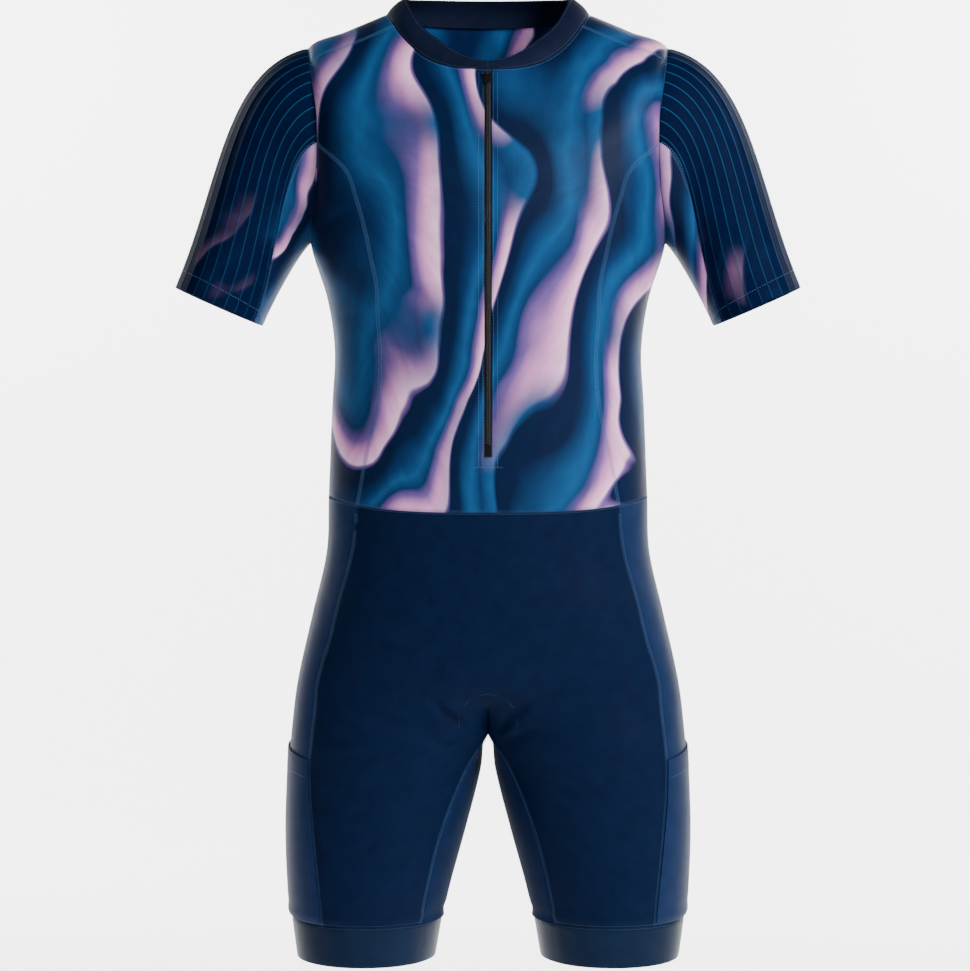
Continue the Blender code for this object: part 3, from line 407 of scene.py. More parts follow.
def side_seam(start, rows, end_x, line):
    points = [start] + seam_points(rows, line) + [(float(angle_at(end_x, T_WAIST, line)), T_WAIST)]
    return resample(points, SIDE_CELLS)


def shorts_seam(rows, top_x, line):
    top = (float(angle_at(top_x, T_WAIST, line)), T_WAIST)
    bottom = (float(angle_at(SHORTS_SEAM_END, T_BAND, line)), T_BAND)
    return resample([top] + seam_points(rows, line) + [bottom], SHORTS_CELLS)


FRONT_TURNS = np.linspace(SHOULDER_SEAM_AT, UNDER_SEAM_AT, ARM_FRONT_CELLS + 1)
UNDER_TURNS = np.linspace(UNDER_SEAM_AT, 360 - UNDER_SEAM_AT, ARM_UNDER_CELLS + 1)
BACK_TURNS = np.linspace(360 - UNDER_SEAM_AT, BACK_CORNER_AT, ARM_BACK_CELLS + 1)
OVER_TURNS = np.linspace(BACK_CORNER_AT, 360 + SHOULDER_SEAM_AT, ARM_OVER_CELLS + 1)
ARMHOLE_FRONT = armhole_on_shell(FRONT_TURNS)
ARMHOLE_UNDER = armhole_on_shell(UNDER_TURNS)
ARMHOLE_BACK = armhole_on_shell(BACK_TURNS)
ARMHOLE_OVER = armhole_on_shell(OVER_TURNS)
FRONT_SEAM = side_seam(ARMHOLE_FRONT[-1], FRONT_SIDE_SEAM, FRONT_SIDE_SEAM_END, FRONT)
BACK_SEAM = side_seam(ARMHOLE_BACK[0], BACK_SIDE_SEAM, BACK_SIDE_SEAM_END, BACK)
SHOULDER_SEAM = resample([(SHOULDER_SEAM_AT_NECK, 0.0), ARMHOLE_FRONT[0]], SHOULDER_CELLS)
BACK_LINE = resample([(BACK_NECK_LINE, 0.0), ARMHOLE_BACK[-1]], SHOULDER_CELLS)
SHORTS_FRONT_LINE = shorts_seam(SHORTS_FRONT_SEAM, FRONT_SIDE_SEAM_END, FRONT)
SHORTS_BACK_LINE = shorts_seam(SHORTS_BACK_SEAM, BACK_SIDE_SEAM_END, BACK)


# ---------------------------------------------------------------- grids of cloth
ON_LINE = 0.01  # degrees from the middle plane that count as on it
BY_FORK = 1e-6  # and how far below the fork


class Grid:
    """Points, outward normals, relief and cloth coordinates over a patch of cloth."""

    def __init__(self, points, out, uv, relief=None):
        self.points, self.out, self.uv = points, out, uv
        self.relief = np.zeros(points.shape[:2]) if relief is None else relief

    def mirrored(self):
        flip = np.array((-1.0, 1.0, 1.0))
        return Grid(self.points * flip, self.out * flip, self.uv * np.array((-1.0, 1.0)), self.relief)

    def both(self):
        return [self, self.mirrored()]

    def lifted(self, height):
        return Grid(self.points + self.out * height, self.out, self.uv, self.relief)

    def centred(self, place):
        """Puts the points and normals of a row or column onto the middle plane."""
        self.points[place + (0,)] = 0.0
        self.out[place + (0,)] = 0.0


def straight(start, end, count):
    return np.linspace(np.array(start, float), np.array(end, float), count + 1)


def lattice(across, down):
    """Surface coordinates of a grid, from its columns' and its rows' values."""
    return np.stack(np.broadcast_arrays(across[None, :], down[:, None]), axis=-1)


def filled(top, bottom, left, right):
    """Coordinates that fill a patch between four edges; left and right run downwards."""
    v = np.linspace(0, 1, len(left))[:, None, None]
    u = np.linspace(0, 1, len(top))[None, :, None]
    top, bottom, left, right = (np.array(e, float) for e in (top, bottom, left, right))
    corners = (1 - v) * ((1 - u) * top[0] + u * top[-1]) + v * ((1 - u) * bottom[0] + u * bottom[-1])
    rows = (1 - v) * top[None] + v * bottom[None]
    return rows + (1 - u) * left[:, None] + u * right[:, None] - corners


def between(left, right, columns):
    """Coordinates that fill a patch between two lines, with straight ends."""
    ends = (straight(left[k], right[k], columns) for k in (0, -1))
    return filled(*ends, left, right)


def cloth_lengths(points, zero_column):
    """Cloth coordinates in metres: along the rows from a column, and down from the top row."""
    u = lengths_along(points, 1)
    return np.stack([u - u[:, zero_column, None], -lengths_along(points)], axis=-1)


def on_surface(surface, grid, zero_column=0):
    u, v = grid[..., 0], grid[..., 1]
    points = surface.at(u, v)
    return Grid(points, normals(surface, u, v), cloth_lengths(points, zero_column))


def on_shell(grid, zero_column=0):
    made = on_surface(SHELL, grid, zero_column)
    on_line = (grid[..., 0] < FRONT + ON_LINE) | (grid[..., 0] > BACK - ON_LINE)
    made.centred(np.nonzero(on_line & (grid[..., 1] <= T_FORK + BY_FORK)))
    return made


# ---------------------------------------------------------------- folds and other soft relief
# Soft troughs with a low ridge along each side. face is the side of the suit they are seen from,
# bow is how far their middle lies off the straight line, and all sizes are in metres.
Fold = namedtuple("Fold", "face x0 z0 x1 z1 bow width depth")
FOLDS = (
    Fold("front", 0.172, -0.205, 0.118, -0.176, 0.006, 0.0050, 0.0018),
    Fold("front", 0.166, -0.222, 0.112, -0.215, 0.004, 0.0042, 0.0013),
    Fold("front", 0.161, -0.250, 0.122, -0.262, -0.003, 0.0045, 0.0011),
    Fold("front", -0.174, -0.200, -0.112, -0.170, 0.005, 0.0052, 0.0019),
    Fold("front", -0.167, -0.228, -0.120, -0.226, 0.003, 0.0040, 0.0012),
    Fold("front", -0.158, -0.262, -0.124, -0.275, -0.003, 0.0042, 0.0009),
    Fold("front", 0.006, -0.684, 0.056, -0.640, 0.005, 0.0060, 0.0036),
    Fold("front", 0.010, -0.696, 0.070, -0.672, 0.005, 0.0052, 0.0030),
    Fold("front", 0.016, -0.715, 0.058, -0.708, 0.003, 0.0038, 0.0009),
    Fold("front", -0.005, -0.682, -0.062, -0.636, 0.006, 0.0062, 0.0037),
    Fold("front", -0.012, -0.697, -0.068, -0.676, 0.004, 0.0050, 0.0029),
    Fold("front", -0.018, -0.722, -0.063, -0.724, 0.002, 0.0038, 0.0008),
    Fold("front", 0.152, -0.462, 0.118, -0.486, 0.002, 0.0048, 0.0010),
    Fold("front", -0.150, -0.460, -0.112, -0.480, 0.002, 0.0050, 0.0010),
    Fold("front", 0.060, -0.478, 0.032, -0.492, 0.001, 0.0042, 0.0006),
    Fold("front", -0.044, -0.476, -0.070, -0.490, 0.001, 0.0040, 0.0006),
    Fold("front", 0.205, -0.196, 0.226, -0.232, 0.003, 0.0042, 0.0012),
    Fold("front", -0.208, -0.190, -0.224, -0.236, 0.003, 0.0044, 0.0013),
    Fold("back", 0.158, -0.400, 0.040, -0.418, 0.008, 0.0070, 0.0016),
    Fold("back", -0.156, -0.390, -0.052, -0.409, 0.007, 0.0068, 0.0015),
    Fold("back", 0.150, -0.432, 0.056, -0.440, 0.005, 0.0060, 0.0012),
    Fold("back", -0.148, -0.428, -0.036, -0.441, 0.006, 0.0062, 0.0012),
    Fold("back", 0.170, -0.200, 0.108, -0.150, 0.006, 0.0060, 0.0018),
    Fold("back", -0.170, -0.196, -0.116, -0.152, 0.005, 0.0056, 0.0016),
    Fold("back", 0.150, -0.714, 0.030, -0.722, -0.010, 0.0065, 0.0016),
    Fold("back", -0.146, -0.718, -0.028, -0.726, -0.009, 0.0060, 0.0015),
    Fold("back", 0.120, -0.744, 0.046, -0.748, -0.006, 0.0050, 0.0010),
    Fold("back", -0.112, -0.748, -0.050, -0.752, -0.005, 0.0050, 0.0009),
    Fold("back", 0.206, -0.180, 0.232, -0.226, 0.004, 0.0050, 0.0012),
    Fold("back", -0.204, -0.184, -0.230, -0.222, 0.004, 0.0048, 0.0012),
)
FOLD_STARTS, FOLD_ENDS = 0.30, 0.45  # the shares of its length over which a fold comes and goes
FOLD_RIDGE = 1.3  # how wide the ridges beside a trough are
TURN_SHARPNESS = 3.0  # how fast relief fades where the cloth turns to the side
PUFF = (-0.8600, 0.0050, 0.0013)  # the cloth swells above a leg band: height, breadth, how far
BAND_GROOVE = (-0.8675, 0.0014, -0.0006)  # and is drawn in at its seam
PAD_CENTRE = (0.0, -0.669)
PAD_RADIUS = 0.0285
PAD_EDGE = 0.004
PAD_RAISE = 0.0014
SEAM_TUCK = 0.00035


def off_line(x, z, fold):
    """How far points lie off a fold's bowed line, and how far along it, from 0 to 1."""
    along = np.array((fold.x1 - fold.x0, fold.z1 - fold.z0))
    length = np.linalg.norm(along)
    along /= length
    dx, dz = x - fold.x0, z - fold.z0
    s = (dx * along[0] + dz * along[1]) / length
    off = dx * -along[1] + dz * along[0] - 4 * fold.bow * s * (1 - s)
    return off, s


def relief(points, out):
    """How far the cloth lies off its smooth surface, at points with outward normals."""
    x, z = points[:, 0], points[:, 2]
    in_front, behind = (np.clip(way * out[:, 1] * TURN_SHARPNESS, 0, 1) for way in (-1, 1))
    total = np.zeros(len(points))
    for fold in FOLDS:
        off, s = off_line(x, z, fold)
        ends = np.clip(s / FOLD_STARTS, 0, 1) * np.clip((1 - s) / FOLD_ENDS, 0, 1)
        ends = ends * ends * (3 - 2 * ends)
        square = (off / fold.width) ** 2
        seen = in_front if fold.face == "front" else behind
        total -= fold.depth * (1 - square) * np.exp(-square / FOLD_RIDGE) * ends * seen
    from_pad = np.hypot(x - PAD_CENTRE[0], z - PAD_CENTRE[1])
    total += PAD_RAISE * np.clip((PAD_RADIUS - from_pad) / PAD_EDGE, 0, 1) * in_front
    for height, breadth, rise in (PUFF, BAND_GROOVE):
        total += rise * np.exp(-(((z - height) / breadth) ** 2))
    return total


# ---------------------------------------------------------------- walls of cloth
WELDS_A_METRE = 1e5  # points in the same hundredth of a millimetre are one
SHARP_ANGLE = math.radians(50)
SHORT_CORNER = 0.3  # keeps a corner from being drawn in too far
TINY = 1e-12


def corners(values):
    """A grid's values at the four corners of its cells."""
    return np.stack([values[:-1, :-1], values[1:, :-1], values[1:, 1:], values[:-1, 1:]], axis=2)


def merged(grids):
    """Shared points of several grids, with quads that face along the normals, and their UVs."""
    points = np.concatenate([g.points.reshape(-1, 3) for g in grids])
    out = np.concatenate([g.out.reshape(-1, 3) for g in grids])
    raised = np.concatenate([g.relief.ravel() for g in grids])
    keys = np.round(points * WELDS_A_METRE).astype(np.int64)
    _, first, index = np.unique(keys, axis=0, return_index=True, return_inverse=True)
    index = index.ravel()
    points, out, raised = points[first], out[first], raised[first]
    quads, uvs, start = [], [], 0
    for g in grids:
        shape = g.points.shape[:2]
        ids = index[start:start + shape[0] * shape[1]].reshape(shape)
        start += shape[0] * shape[1]
        quads.append(corners(ids).reshape(-1, 4))
        uvs.append(corners(g.uv).reshape(-1, 4, 2))
    quads, uvs = np.concatenate(quads), np.concatenate(uvs)
    a, b, c, d = (points[quads[:, k]] for k in range(4))
    facing = np.einsum("ij,ij->i", np.cross(c - a, d - b), out[quads].sum(axis=1))
    quads[facing < 0] = quads[facing < 0, ::-1]
    uvs[facing < 0] = uvs[facing < 0, ::-1]
    return points, out, raised, quads, uvs


def border_edges(quads, count):
    """The edges of quads that no other quad shares, by their starts and ends."""
    starts, ends = quads.ravel(), np.roll(quads, -1, axis=1).ravel()
    lone = ~np.isin(starts * count + ends, ends * count + starts) & (starts != ends)
    return starts[lone], ends[lone]


def drawn_in(points, out, starts, ends, amount):
    """The points, with the border moved inwards along the cloth."""
    side = np.cross((out[starts] + out[ends]) / 2, points[ends] - points[starts])
    side /= np.maximum(np.linalg.norm(side, axis=1, keepdims=True), TINY)
    total = np.zeros_like(points)
    np.add.at(total, starts, side)
    np.add.at(total, ends, side)
    size = np.maximum((total**2).sum(axis=1, keepdims=True), SHORT_CORNER)
    return points + 2 * amount * total / size


def linked(name, data):
    thing = bpy.data.objects.new(name, data)
    bpy.context.scene.collection.objects.link(thing)
    return thing


def cloth_wall(name, grids, look):
    """A closed cloth wall with its folds: outer side, inner side and a rim between them."""
    points, out, raised, quads, uvs = merged(grids)
    count = len(points)
    starts, ends = border_edges(quads, count)
    points = drawn_in(points, out, starts, ends, look.edge)
    points = points + out * relief(points, out)[:, None]
    raised[starts] -= look.tuck
    outer = points + out * raised[:, None]
    inner = points - out * look.thick
    rim = np.stack([ends, starts, starts + count, ends + count], axis=1)
    faces = np.concatenate([quads, quads[:, ::-1] + count, rim])
    uv = np.concatenate([uvs, uvs[:, ::-1], np.zeros((len(rim), 4, 2))])
    mesh = bpy.data.meshes.new(name)
    mesh.from_pydata(np.concatenate([outer, inner]).tolist(), [], faces.tolist())
    layer = mesh.uv_layers.new(name="cloth")
    layer.data.foreach_set("uv", uv.astype(np.float32).ravel())
    mesh.materials.append(look.outside)
    mesh.materials.append(look.inside)
    is_inner = np.repeat((0, 1, 0), (len(quads), len(quads), len(rim)))
    mesh.polygons.foreach_set("material_index", is_inner.astype(np.int32))
    mesh.shade_smooth()
    mesh.set_sharp_from_angle(angle=SHARP_ANGLE)
    return linked(name, mesh)


# ---------------------------------------------------------------- panels of the upper body
def front_grids():
    """The front's grids, and the rows of the shell that it has beside the zip."""
    outer = np.concatenate([SHOULDER_SEAM[:-1], ARMHOLE_FRONT[:-1], FRONT_SEAM])
    upper = np.linspace(0.0, FRONT_BREAK, SHOULDER_CELLS + ARM_FRONT_CELLS + 1)
    rows = np.concatenate([upper[:-1], np.linspace(FRONT_BREAK, T_WAIST, SIDE_CELLS + 1)])
    zip_end = down_front_to(ZIP_END_Z)
    zip_row = int(np.argmin(abs(rows - zip_end)))
    rows[zip_row] = zip_end
    inner = down_front(SLIT, rows)
    half = on_shell(between(inner, outer, FRONT_COLUMNS))
    half.uv[..., 0] += SLIT
    below = inner[zip_row:]
    middle = on_shell(np.stack([below * (0.0, 1.0), below], axis=1))
    middle.uv[..., 1] = half.uv[zip_row:, :1, 1]
    return half.both() + middle.both(), rows[:zip_row + 1]


def back_grids():
    over = on_shell(filled(
        straight((SHOULDER_SEAM_AT_NECK, 0.0), (BACK_NECK_LINE, 0.0), ARM_OVER_CELLS),
        ARMHOLE_OVER[::-1], SHOULDER_SEAM, BACK_LINE,
    ))
    side = np.concatenate([BACK_LINE[:-1], ARMHOLE_BACK[::-1][:-1], BACK_SEAM])
    centre = straight((BACK, 0.0), (BACK, T_WAIST), len(side) - 1)
    main = on_shell(between(side, centre, BACK_COLUMNS), zero_column=-1)
    return over.both() + main.both()


def side_panel_grid():
    bottom = straight(FRONT_SEAM[-1], BACK_SEAM[-1], len(ARMHOLE_UNDER) - 1)
    return on_shell(filled(ARMHOLE_UNDER, bottom, FRONT_SEAM, BACK_SEAM))


# ---------------------------------------------------------------- sleeves
RIB_HEIGHT = 0.00060
RIB_SHARPNESS = 5.0
RIB_FADE = 0.035  # the share of the sleeve's length over which its ribs rise
SLEEVE_CROWDING = 1.15  # rows lie closer together at the armhole than at the cuff
INWARDS = 0.6  # the sleeve's edge clears the armhole's inwards by this share of how far it lifts

ALL_TURNS = np.concatenate([FRONT_TURNS[:-1], UNDER_TURNS[:-1], BACK_TURNS[:-1], OVER_TURNS])
ALL_PAIRS = np.concatenate([ARMHOLE_FRONT[:-1], ARMHOLE_UNDER[:-1], ARMHOLE_BACK[:-1], ARMHOLE_OVER])
ALL_PLACES = shell(ALL_PAIRS[:, 0], ALL_PAIRS[:, 1])
ALL_OUT = normals(SHELL, ALL_PAIRS[:, 0], ALL_PAIRS[:, 1])
ARMHOLE_MIDDLE = ALL_PLACES.mean(axis=0)


def armhole_at(turn):
    """Where the sleeve's edge lies at a turn round the armhole."""
    turn = (turn - SHOULDER_SEAM_AT) % 360 + SHOULDER_SEAM_AT
    place, outward = (
        np.stack([np.interp(turn, ALL_TURNS, values[:, k]) for k in range(3)], axis=-1)
        for values in (ALL_PLACES, ALL_OUT)
    )
    inward = (ARMHOLE_MIDDLE - place) * (0.0, 1.0, 1.0)
    return place + HEAD_INSET * SEAM_GAP * (unit(outward) + INWARDS * unit(inward))


def sleeve_turn(turn):
    """A sleeve's columns gather towards the under seam, from the armhole to the cuff."""
    turn = (turn + 180) % 360 - 180
    size = np.abs(turn)
    rest = (size - UNDER_SEAM_AT) / (180 - UNDER_SEAM_AT)
    upper = size * CUFF_UNDER_SEAM_AT / UNDER_SEAM_AT
    under = CUFF_UNDER_SEAM_AT + rest * (180 - CUFF_UNDER_SEAM_AT)
    return np.sign(turn) * np.where(size <= UNDER_SEAM_AT, upper, under)


def sleeve(turn, v):
    """A sleeve's surface, at a turn round the armhole and a share v of its length."""
    turn, v = np.broadcast_arrays(np.asarray(turn, float), np.asarray(v, float))
    start = armhole_at(turn)
    at_cuff = np.radians(sleeve_turn(turn))[..., None]
    out = np.array((math.cos(ARM_ANGLE), 0.0, math.sin(ARM_ANGLE)))
    end = CUFF_CENTRE + CUFF_BREADTH * np.cos(at_cuff) * out + np.sin(at_cuff) * (0.0, -CUFF_DEPTH, 0.0)
    length = np.linalg.norm(end - start, axis=-1, keepdims=True)
    height = ((1 + np.cos(np.radians(turn))) / 2)[..., None]
    plane = np.array(UNDER_DIRECTION) * (1 - height) + np.array(HEAD_DIRECTION) * height
    lead = unit(np.stack([plane[..., 0], -SPREAD * np.sin(np.radians(turn)), plane[..., 1]], axis=-1))
    axis = np.array((math.sin(ARM_ANGLE), 0.0, -math.cos(ARM_ANGLE)))
    b = start + lead * length * (START_HOLD[0] + START_HOLD[1] * height)
    c = end - axis * length * (END_HOLD[0] + END_HOLD[1] * height)
    v = v[..., None]
    w = 1 - v
    return w**3 * start + 3 * w * w * v * b + 3 * w * v * v * c + v**3 * end


SLEEVE = Surface(sleeve, 0.5, 0.004, -1.0)


def sleeve_grid(turns):
    return on_surface(SLEEVE, lattice(turns, np.linspace(0, 1, SLEEVE_CELLS + 1) ** SLEEVE_CROWDING))


def upper_sleeve_grid():
    """The ribbed cloth; its first cloth coordinate counts ribs."""
    made = sleeve_grid(np.linspace(-UNDER_SEAM_AT, UNDER_SEAM_AT, RIBS * RIB_CELLS + 1))
    count = np.linspace(0, RIBS, RIBS * RIB_CELLS + 1)
    ridge = np.exp(-RIB_SHARPNESS * (1 + np.cos(2 * math.pi * count)))
    rise = np.clip(np.linspace(0, 1, SLEEVE_CELLS + 1) / RIB_FADE, 0, 1)
    made.relief = RIB_HEIGHT * ridge[None, :] * rise[:, None]
    made.uv[..., 0] = count[None, :]
    return made


# ---------------------------------------------------------------- collar
COLLAR_CLEARS = 0.3  # its foot stands above the neckline by this share of the seam gap


def collar_surface(angle, up):
    """The collar stands on the neckline and leans in, most at the wearer's sides."""
    angle, up = np.broadcast_arrays(np.asarray(angle, float), np.asarray(up, float))
    foot = shell(angle, np.zeros_like(angle)) + np.array((0.0, 0.0, COLLAR_CLEARS * SEAM_GAP))
    s, c = np.sin(np.radians(angle)), np.cos(np.radians(angle))
    share = np.minimum(angle / COLLAR_FULL_AT, 1.0)
    rest = COLLAR_HEIGHT - COLLAR_FRONT_HEIGHT
    height = COLLAR_FRONT_HEIGHT + rest * share * share * (3 - 2 * share)
    lean = (COLLAR_END_LEAN + (COLLAR_SIDE_LEAN - COLLAR_END_LEAN) * s * s) * height / COLLAR_HEIGHT
    rise = np.sqrt(height * height - lean * lean)
    bow = COLLAR_BOW * height * np.sin(math.pi * up)
    return foot + np.stack([-s * (lean * up - bow), c * (lean * up - bow), rise * up], axis=-1)


COLLAR_SURFACE = Surface(collar_surface, 0.3, 0.02, -1.0)


def collar_grid():
    angles = np.linspace(float(angle_at(COLLAR_OPEN, 0.0)), BACK, COLLAR_COLUMNS + 1)
    half = on_surface(COLLAR_SURFACE, lattice(angles, np.linspace(-COLLAR_ROOT, 1, COLLAR_ROWS + 1)))
    half.centred((slice(None), -1))
    return half


# ---------------------------------------------------------------- shorts
FORK_CELLS = int(np.argmin(np.abs(SHORTS_FRONT_LINE[:, 1] - T_FORK)))  # down to the fork's ring


def shorts_grids(line, side):
    """The front or back of the shorts, from its middle line to a side seam and mirrored."""
    fork_row = int(np.argmin(np.abs(side[:, 1] - T_FORK)))
    above = np.linspace(T_WAIST, T_FORK, fork_row + 1)
    below = np.linspace(T_FORK, T_BAND, len(side) - fork_row)
    t = np.concatenate([above[:-1], below])
    centre = np.stack([np.full(len(t), line), t], axis=1)
    return on_shell(between(centre, side, SHORTS_COLUMNS)).both()


def gusset_grid():
    t = np.linspace(T_FORK, T_BAND, SHORTS_CELLS - FORK_CELLS + 1)
    across = np.linspace(-1, 1, GUSSET_COLUMNS + 1)
    half = on_surface(GUSSET, lattice(across, t), zero_column=GUSSET_COLUMNS // 2)
    for column, line in ((0, FRONT), (-1, BACK)):
        half.out[:, column] = normals(SHELL, np.full(len(t), line), t)
    half.centred((0, slice(None)))
    half.out[0] = unit(half.out[0])
    return half


POCKET_GAPE_FADE = 6  # how fast the gape closes below the opening
SHORTS_SIDE = between(SHORTS_FRONT_LINE, SHORTS_BACK_LINE, SIDE_COLUMNS)


def pocket_grid():
    share = np.linspace(*POCKET_OPENING, SIDE_COLUMNS + 1)
    down = np.linspace(0, 1, POCKET_ROWS + 1)[:, None]
    row = (share + (POCKET_END - share) * down) * SHORTS_CELLS
    low = np.minimum(row.astype(int), SHORTS_CELLS - 1)
    column = np.arange(SIDE_COLUMNS + 1)[None, :]
    rest = (row - low)[..., None]
    made = on_shell(SHORTS_SIDE[low, column] * (1 - rest) + SHORTS_SIDE[low + 1, column] * rest)
    gape = POCKET_GAPE * (1 - down) ** POCKET_GAPE_FADE * np.sin(np.linspace(0, math.pi, SIDE_COLUMNS + 1))
    made.points += made.out * (CLOTH + POCKET_GAP + gape)[..., None]
    return made


def band_surface(turn, t):
    """Round the leg: the shell outside and the gusset inside."""
    turn, t = np.broadcast_arrays(np.asarray(turn, float), np.asarray(t, float))
    seam = LEG_ROWS[-1].seam
    turn = (turn + seam) % 360 - seam
    on_outside = turn <= 180 + seam
    outside = shell(np.where(on_outside, (turn + seam) * 180 / (180 + 2 * seam), 0.0), t)
    inside = gusset(np.where(on_outside, 0.0, (270 - turn) / (90 - seam)), t)
    return np.where(on_outside[..., None], outside, inside)


BAND = Surface(band_surface, 1.0, 0.0005, 1.0)


def band_grid():
    turns = np.linspace(-90.0, 270.0, BAND_COLUMNS + 1)
    made = on_surface(BAND, lattice(turns, np.linspace(T_BAND, T_HEM, BAND_ROWS + 1)))
    made.points[:, -1], made.out[:, -1] = made.points[:, 0], made.out[:, 0]
    return made


# ---------------------------------------------------------------- materials
class Net:
    """Adds nodes to a node tree and links them."""

    def __init__(self, tree):
        self.tree = tree

    def set(self, socket, value):
        if isinstance(value, bpy.types.NodeSocket):
            self.tree.links.new(value, socket)
        else:
            socket.default_value = value

    def add(self, kind, inputs=None, **settings):
        node = self.tree.nodes.new(kind)
        for name, value in settings.items():
            setattr(node, name, value)
        for key, value in (inputs or {}).items():
            self.set(node.inputs[key], value)
        return node

    def maths(self, operation, a, b):
        return self.add("ShaderNodeMath", {0: a, 1: b}, operation=operation).outputs[0]

    def vectors(self, operation, inputs):
        return self.add("ShaderNodeVectorMath", inputs, operation=operation).outputs[0]

    def noise(self, vector, scale, detail):
        return self.add("ShaderNodeTexNoise", {"Vector": vector, "Scale": scale, "Detail": detail}).outputs

    def ranged(self, value, span, result=(0.0, 1.0), kind="LINEAR"):
        inputs = {0: value, 1: span[0], 2: span[1], 3: result[0], 4: result[1]}
        return self.add("ShaderNodeMapRange", inputs, interpolation_type=kind).outputs[0]

    def ramp(self, factor, stops):
        node = self.add("ShaderNodeValToRGB", {"Fac": factor})
        elements = node.color_ramp.elements
        while len(elements) < len(stops):
            elements.new(0.5)
        for element, (place, colour) in zip(elements, stops):
            element.position = place
            element.color = (*colour, 1.0)
        return node.outputs["Color"]

    def mix(self, factor, a, b, blend="MIX"):
        node = self.add("ShaderNodeMix", {0: factor, 6: a, 7: b}, data_type="RGBA", blend_type=blend)
        return node.outputs[2]

    def shaded(self, colour, amount):
        """A colour, made lighter or darker."""
        grey = self.add("ShaderNodeCombineColor", {k: amount for k in range(3)}).outputs[0]
        return self.mix(1.0, colour, grey, "MULTIPLY")

    def group(self, tree, vector):
        node = self.add("ShaderNodeGroup", node_tree=tree)
        self.set(node.inputs["Vector"], vector)
        return node.outputs

    def bump(self, height, strength, distance):
        inputs = {"Height": height, "Strength": strength, "Distance": distance}
        return self.add("ShaderNodeBump", inputs).outputs["Normal"]


NAVY = (0.0015, 0.0080, 0.0360)
DEEP_BLUE = (0.0030, 0.0260, 0.0920)
PRINT_BLUE = (0.0075, 0.0680, 0.1950)
PURPLE = (0.1500, 0.0800, 0.2800)
PINK = (0.7200, 0.3000, 0.6000)
PALE_PINK = (0.8600, 0.5200, 0.7600)
# The colour of the painted highlight on the sleeves' rib crests
RIB_HIGHLIGHT_TEAL = (0.0060, 0.0620, 0.1500)
SLEEVE_NAVY = (0.0015, 0.0060, 0.0300)
SHORTS_NAVY = (0.0026, 0.0082, 0.0320)
PANEL_NAVY = (0.0060, 0.0180, 0.0640)
COLLAR_NAVY = (0.0055, 0.0085, 0.0260)
BAND_NAVY = (0.0028, 0.0110, 0.0340)
THREAD_BLUE = (0.0500, 0.1600, 0.3600)
ZIP_BLACK = (0.0045, 0.0045, 0.0055)
COIL_BLACK = (0.0100, 0.0100, 0.0120)
BLUE_THREAD_BLUE = (0.0220, 0.0700, 0.1700)
DARK_THREAD_BLUE = (0.0200, 0.0450, 0.1100)
STUDIO_WHITE = (0.93, 0.93, 0.93)

# The marbled print
PRINT_PERIOD = 0.078  # metres from one crest to the next
WAVE_SCALE = 0.3142  # gives a wave texture a period of 1 m
PRINT_LAYERS = ((5.0, 0.185, 1.0), (12.0, 0.026, 1.5))  # scale, reach and detail of its swirls
PRINT_LEAN = (0.0, math.radians(-32), 0.0)
PRINT_STRETCH = (1.0, 0.75, 0.62)
PRINT_CREST = (
    (0.00, NAVY), (0.14, NAVY), (0.30, DEEP_BLUE), (0.46, PRINT_BLUE), (0.60, DEEP_BLUE),
    (0.70, PURPLE), (0.82, PINK), (0.94, PALE_PINK), (0.965, PURPLE), (1.00, NAVY),
)
PRINT_CALM = (
    (0.00, NAVY), (0.20, NAVY), (0.50, PRINT_BLUE), (0.72, DEEP_BLUE), (0.93, PRINT_BLUE), (1.00, NAVY),
)
CREST_PATCHES = (7.0, 1.0)  # scale and detail of the noise that says where the crests show
CREST_SHARE = (0.38, 0.54)

# The knit
KNIT_WALES = 260.0  # scale of its fine ribs, and of the grain and shade over them
KNIT_GRAIN = (420.0, 3.0)
KNIT_SHADE = (55.0, 4.0)
KNIT_WAVER = 0.4
KNIT_WALE_SHARE = 0.5  # of the ribs in its height
KNIT_TONES = ((0.3, 0.7), (0.88, 1.12))
KNIT_DEPTH = 0.0004
# Painted shade: a cloth's colour is darkened towards its silhouette, where it turns away from the view
PAINTED_EDGE_BLEND = 0.35
PAINTED_EDGE_SHADE_SPAN = (0.2, 1.0)  # how far the cloth is turned away from the view where the painted shade starts and where it is full
PAINTED_EDGE_SHADE = 0.45  # what is left of a cloth's colour under the painted shade, where it turns away from the view

# The grain of plain materials
GRAIN = (600.0, 2.0)
GRAIN_TONES = ((0.3, 0.7), (0.8, 1.2))
GRAIN_DEPTH = 0.0003
COAT_ROUGHNESS = 0.12

# The sleeves' ribs: a thin teal painted highlight on each crest, and streaks of the print low down
RIB_HIGHLIGHT_LINE = (0.43, 0.48)
RIB_HIGHLIGHT_STRENGTH = ((-0.30, 0.0), (0.30, 0.95))  # how strong the painted highlights are, at two heights: stronger higher up the sleeve
STREAK_PATCHES = (9.0, 2.0)
STREAK_SHARE = ((0.46, 0.66), (0.0, 0.30))
STREAK_HEIGHTS = (-0.15, -0.20)


def new_group(name, outputs):
    """A shader group with one vector input."""
    tree = bpy.data.node_groups.new(name, "ShaderNodeTree")
    tree.interface.new_socket("Vector", in_out="INPUT", socket_type="NodeSocketVector")
    for label, kind in outputs.items():
        tree.interface.new_socket(label, in_out="OUTPUT", socket_type=kind)
    net = Net(tree)
    return net, net.add("NodeGroupInput").outputs["Vector"], net.add("NodeGroupOutput").inputs


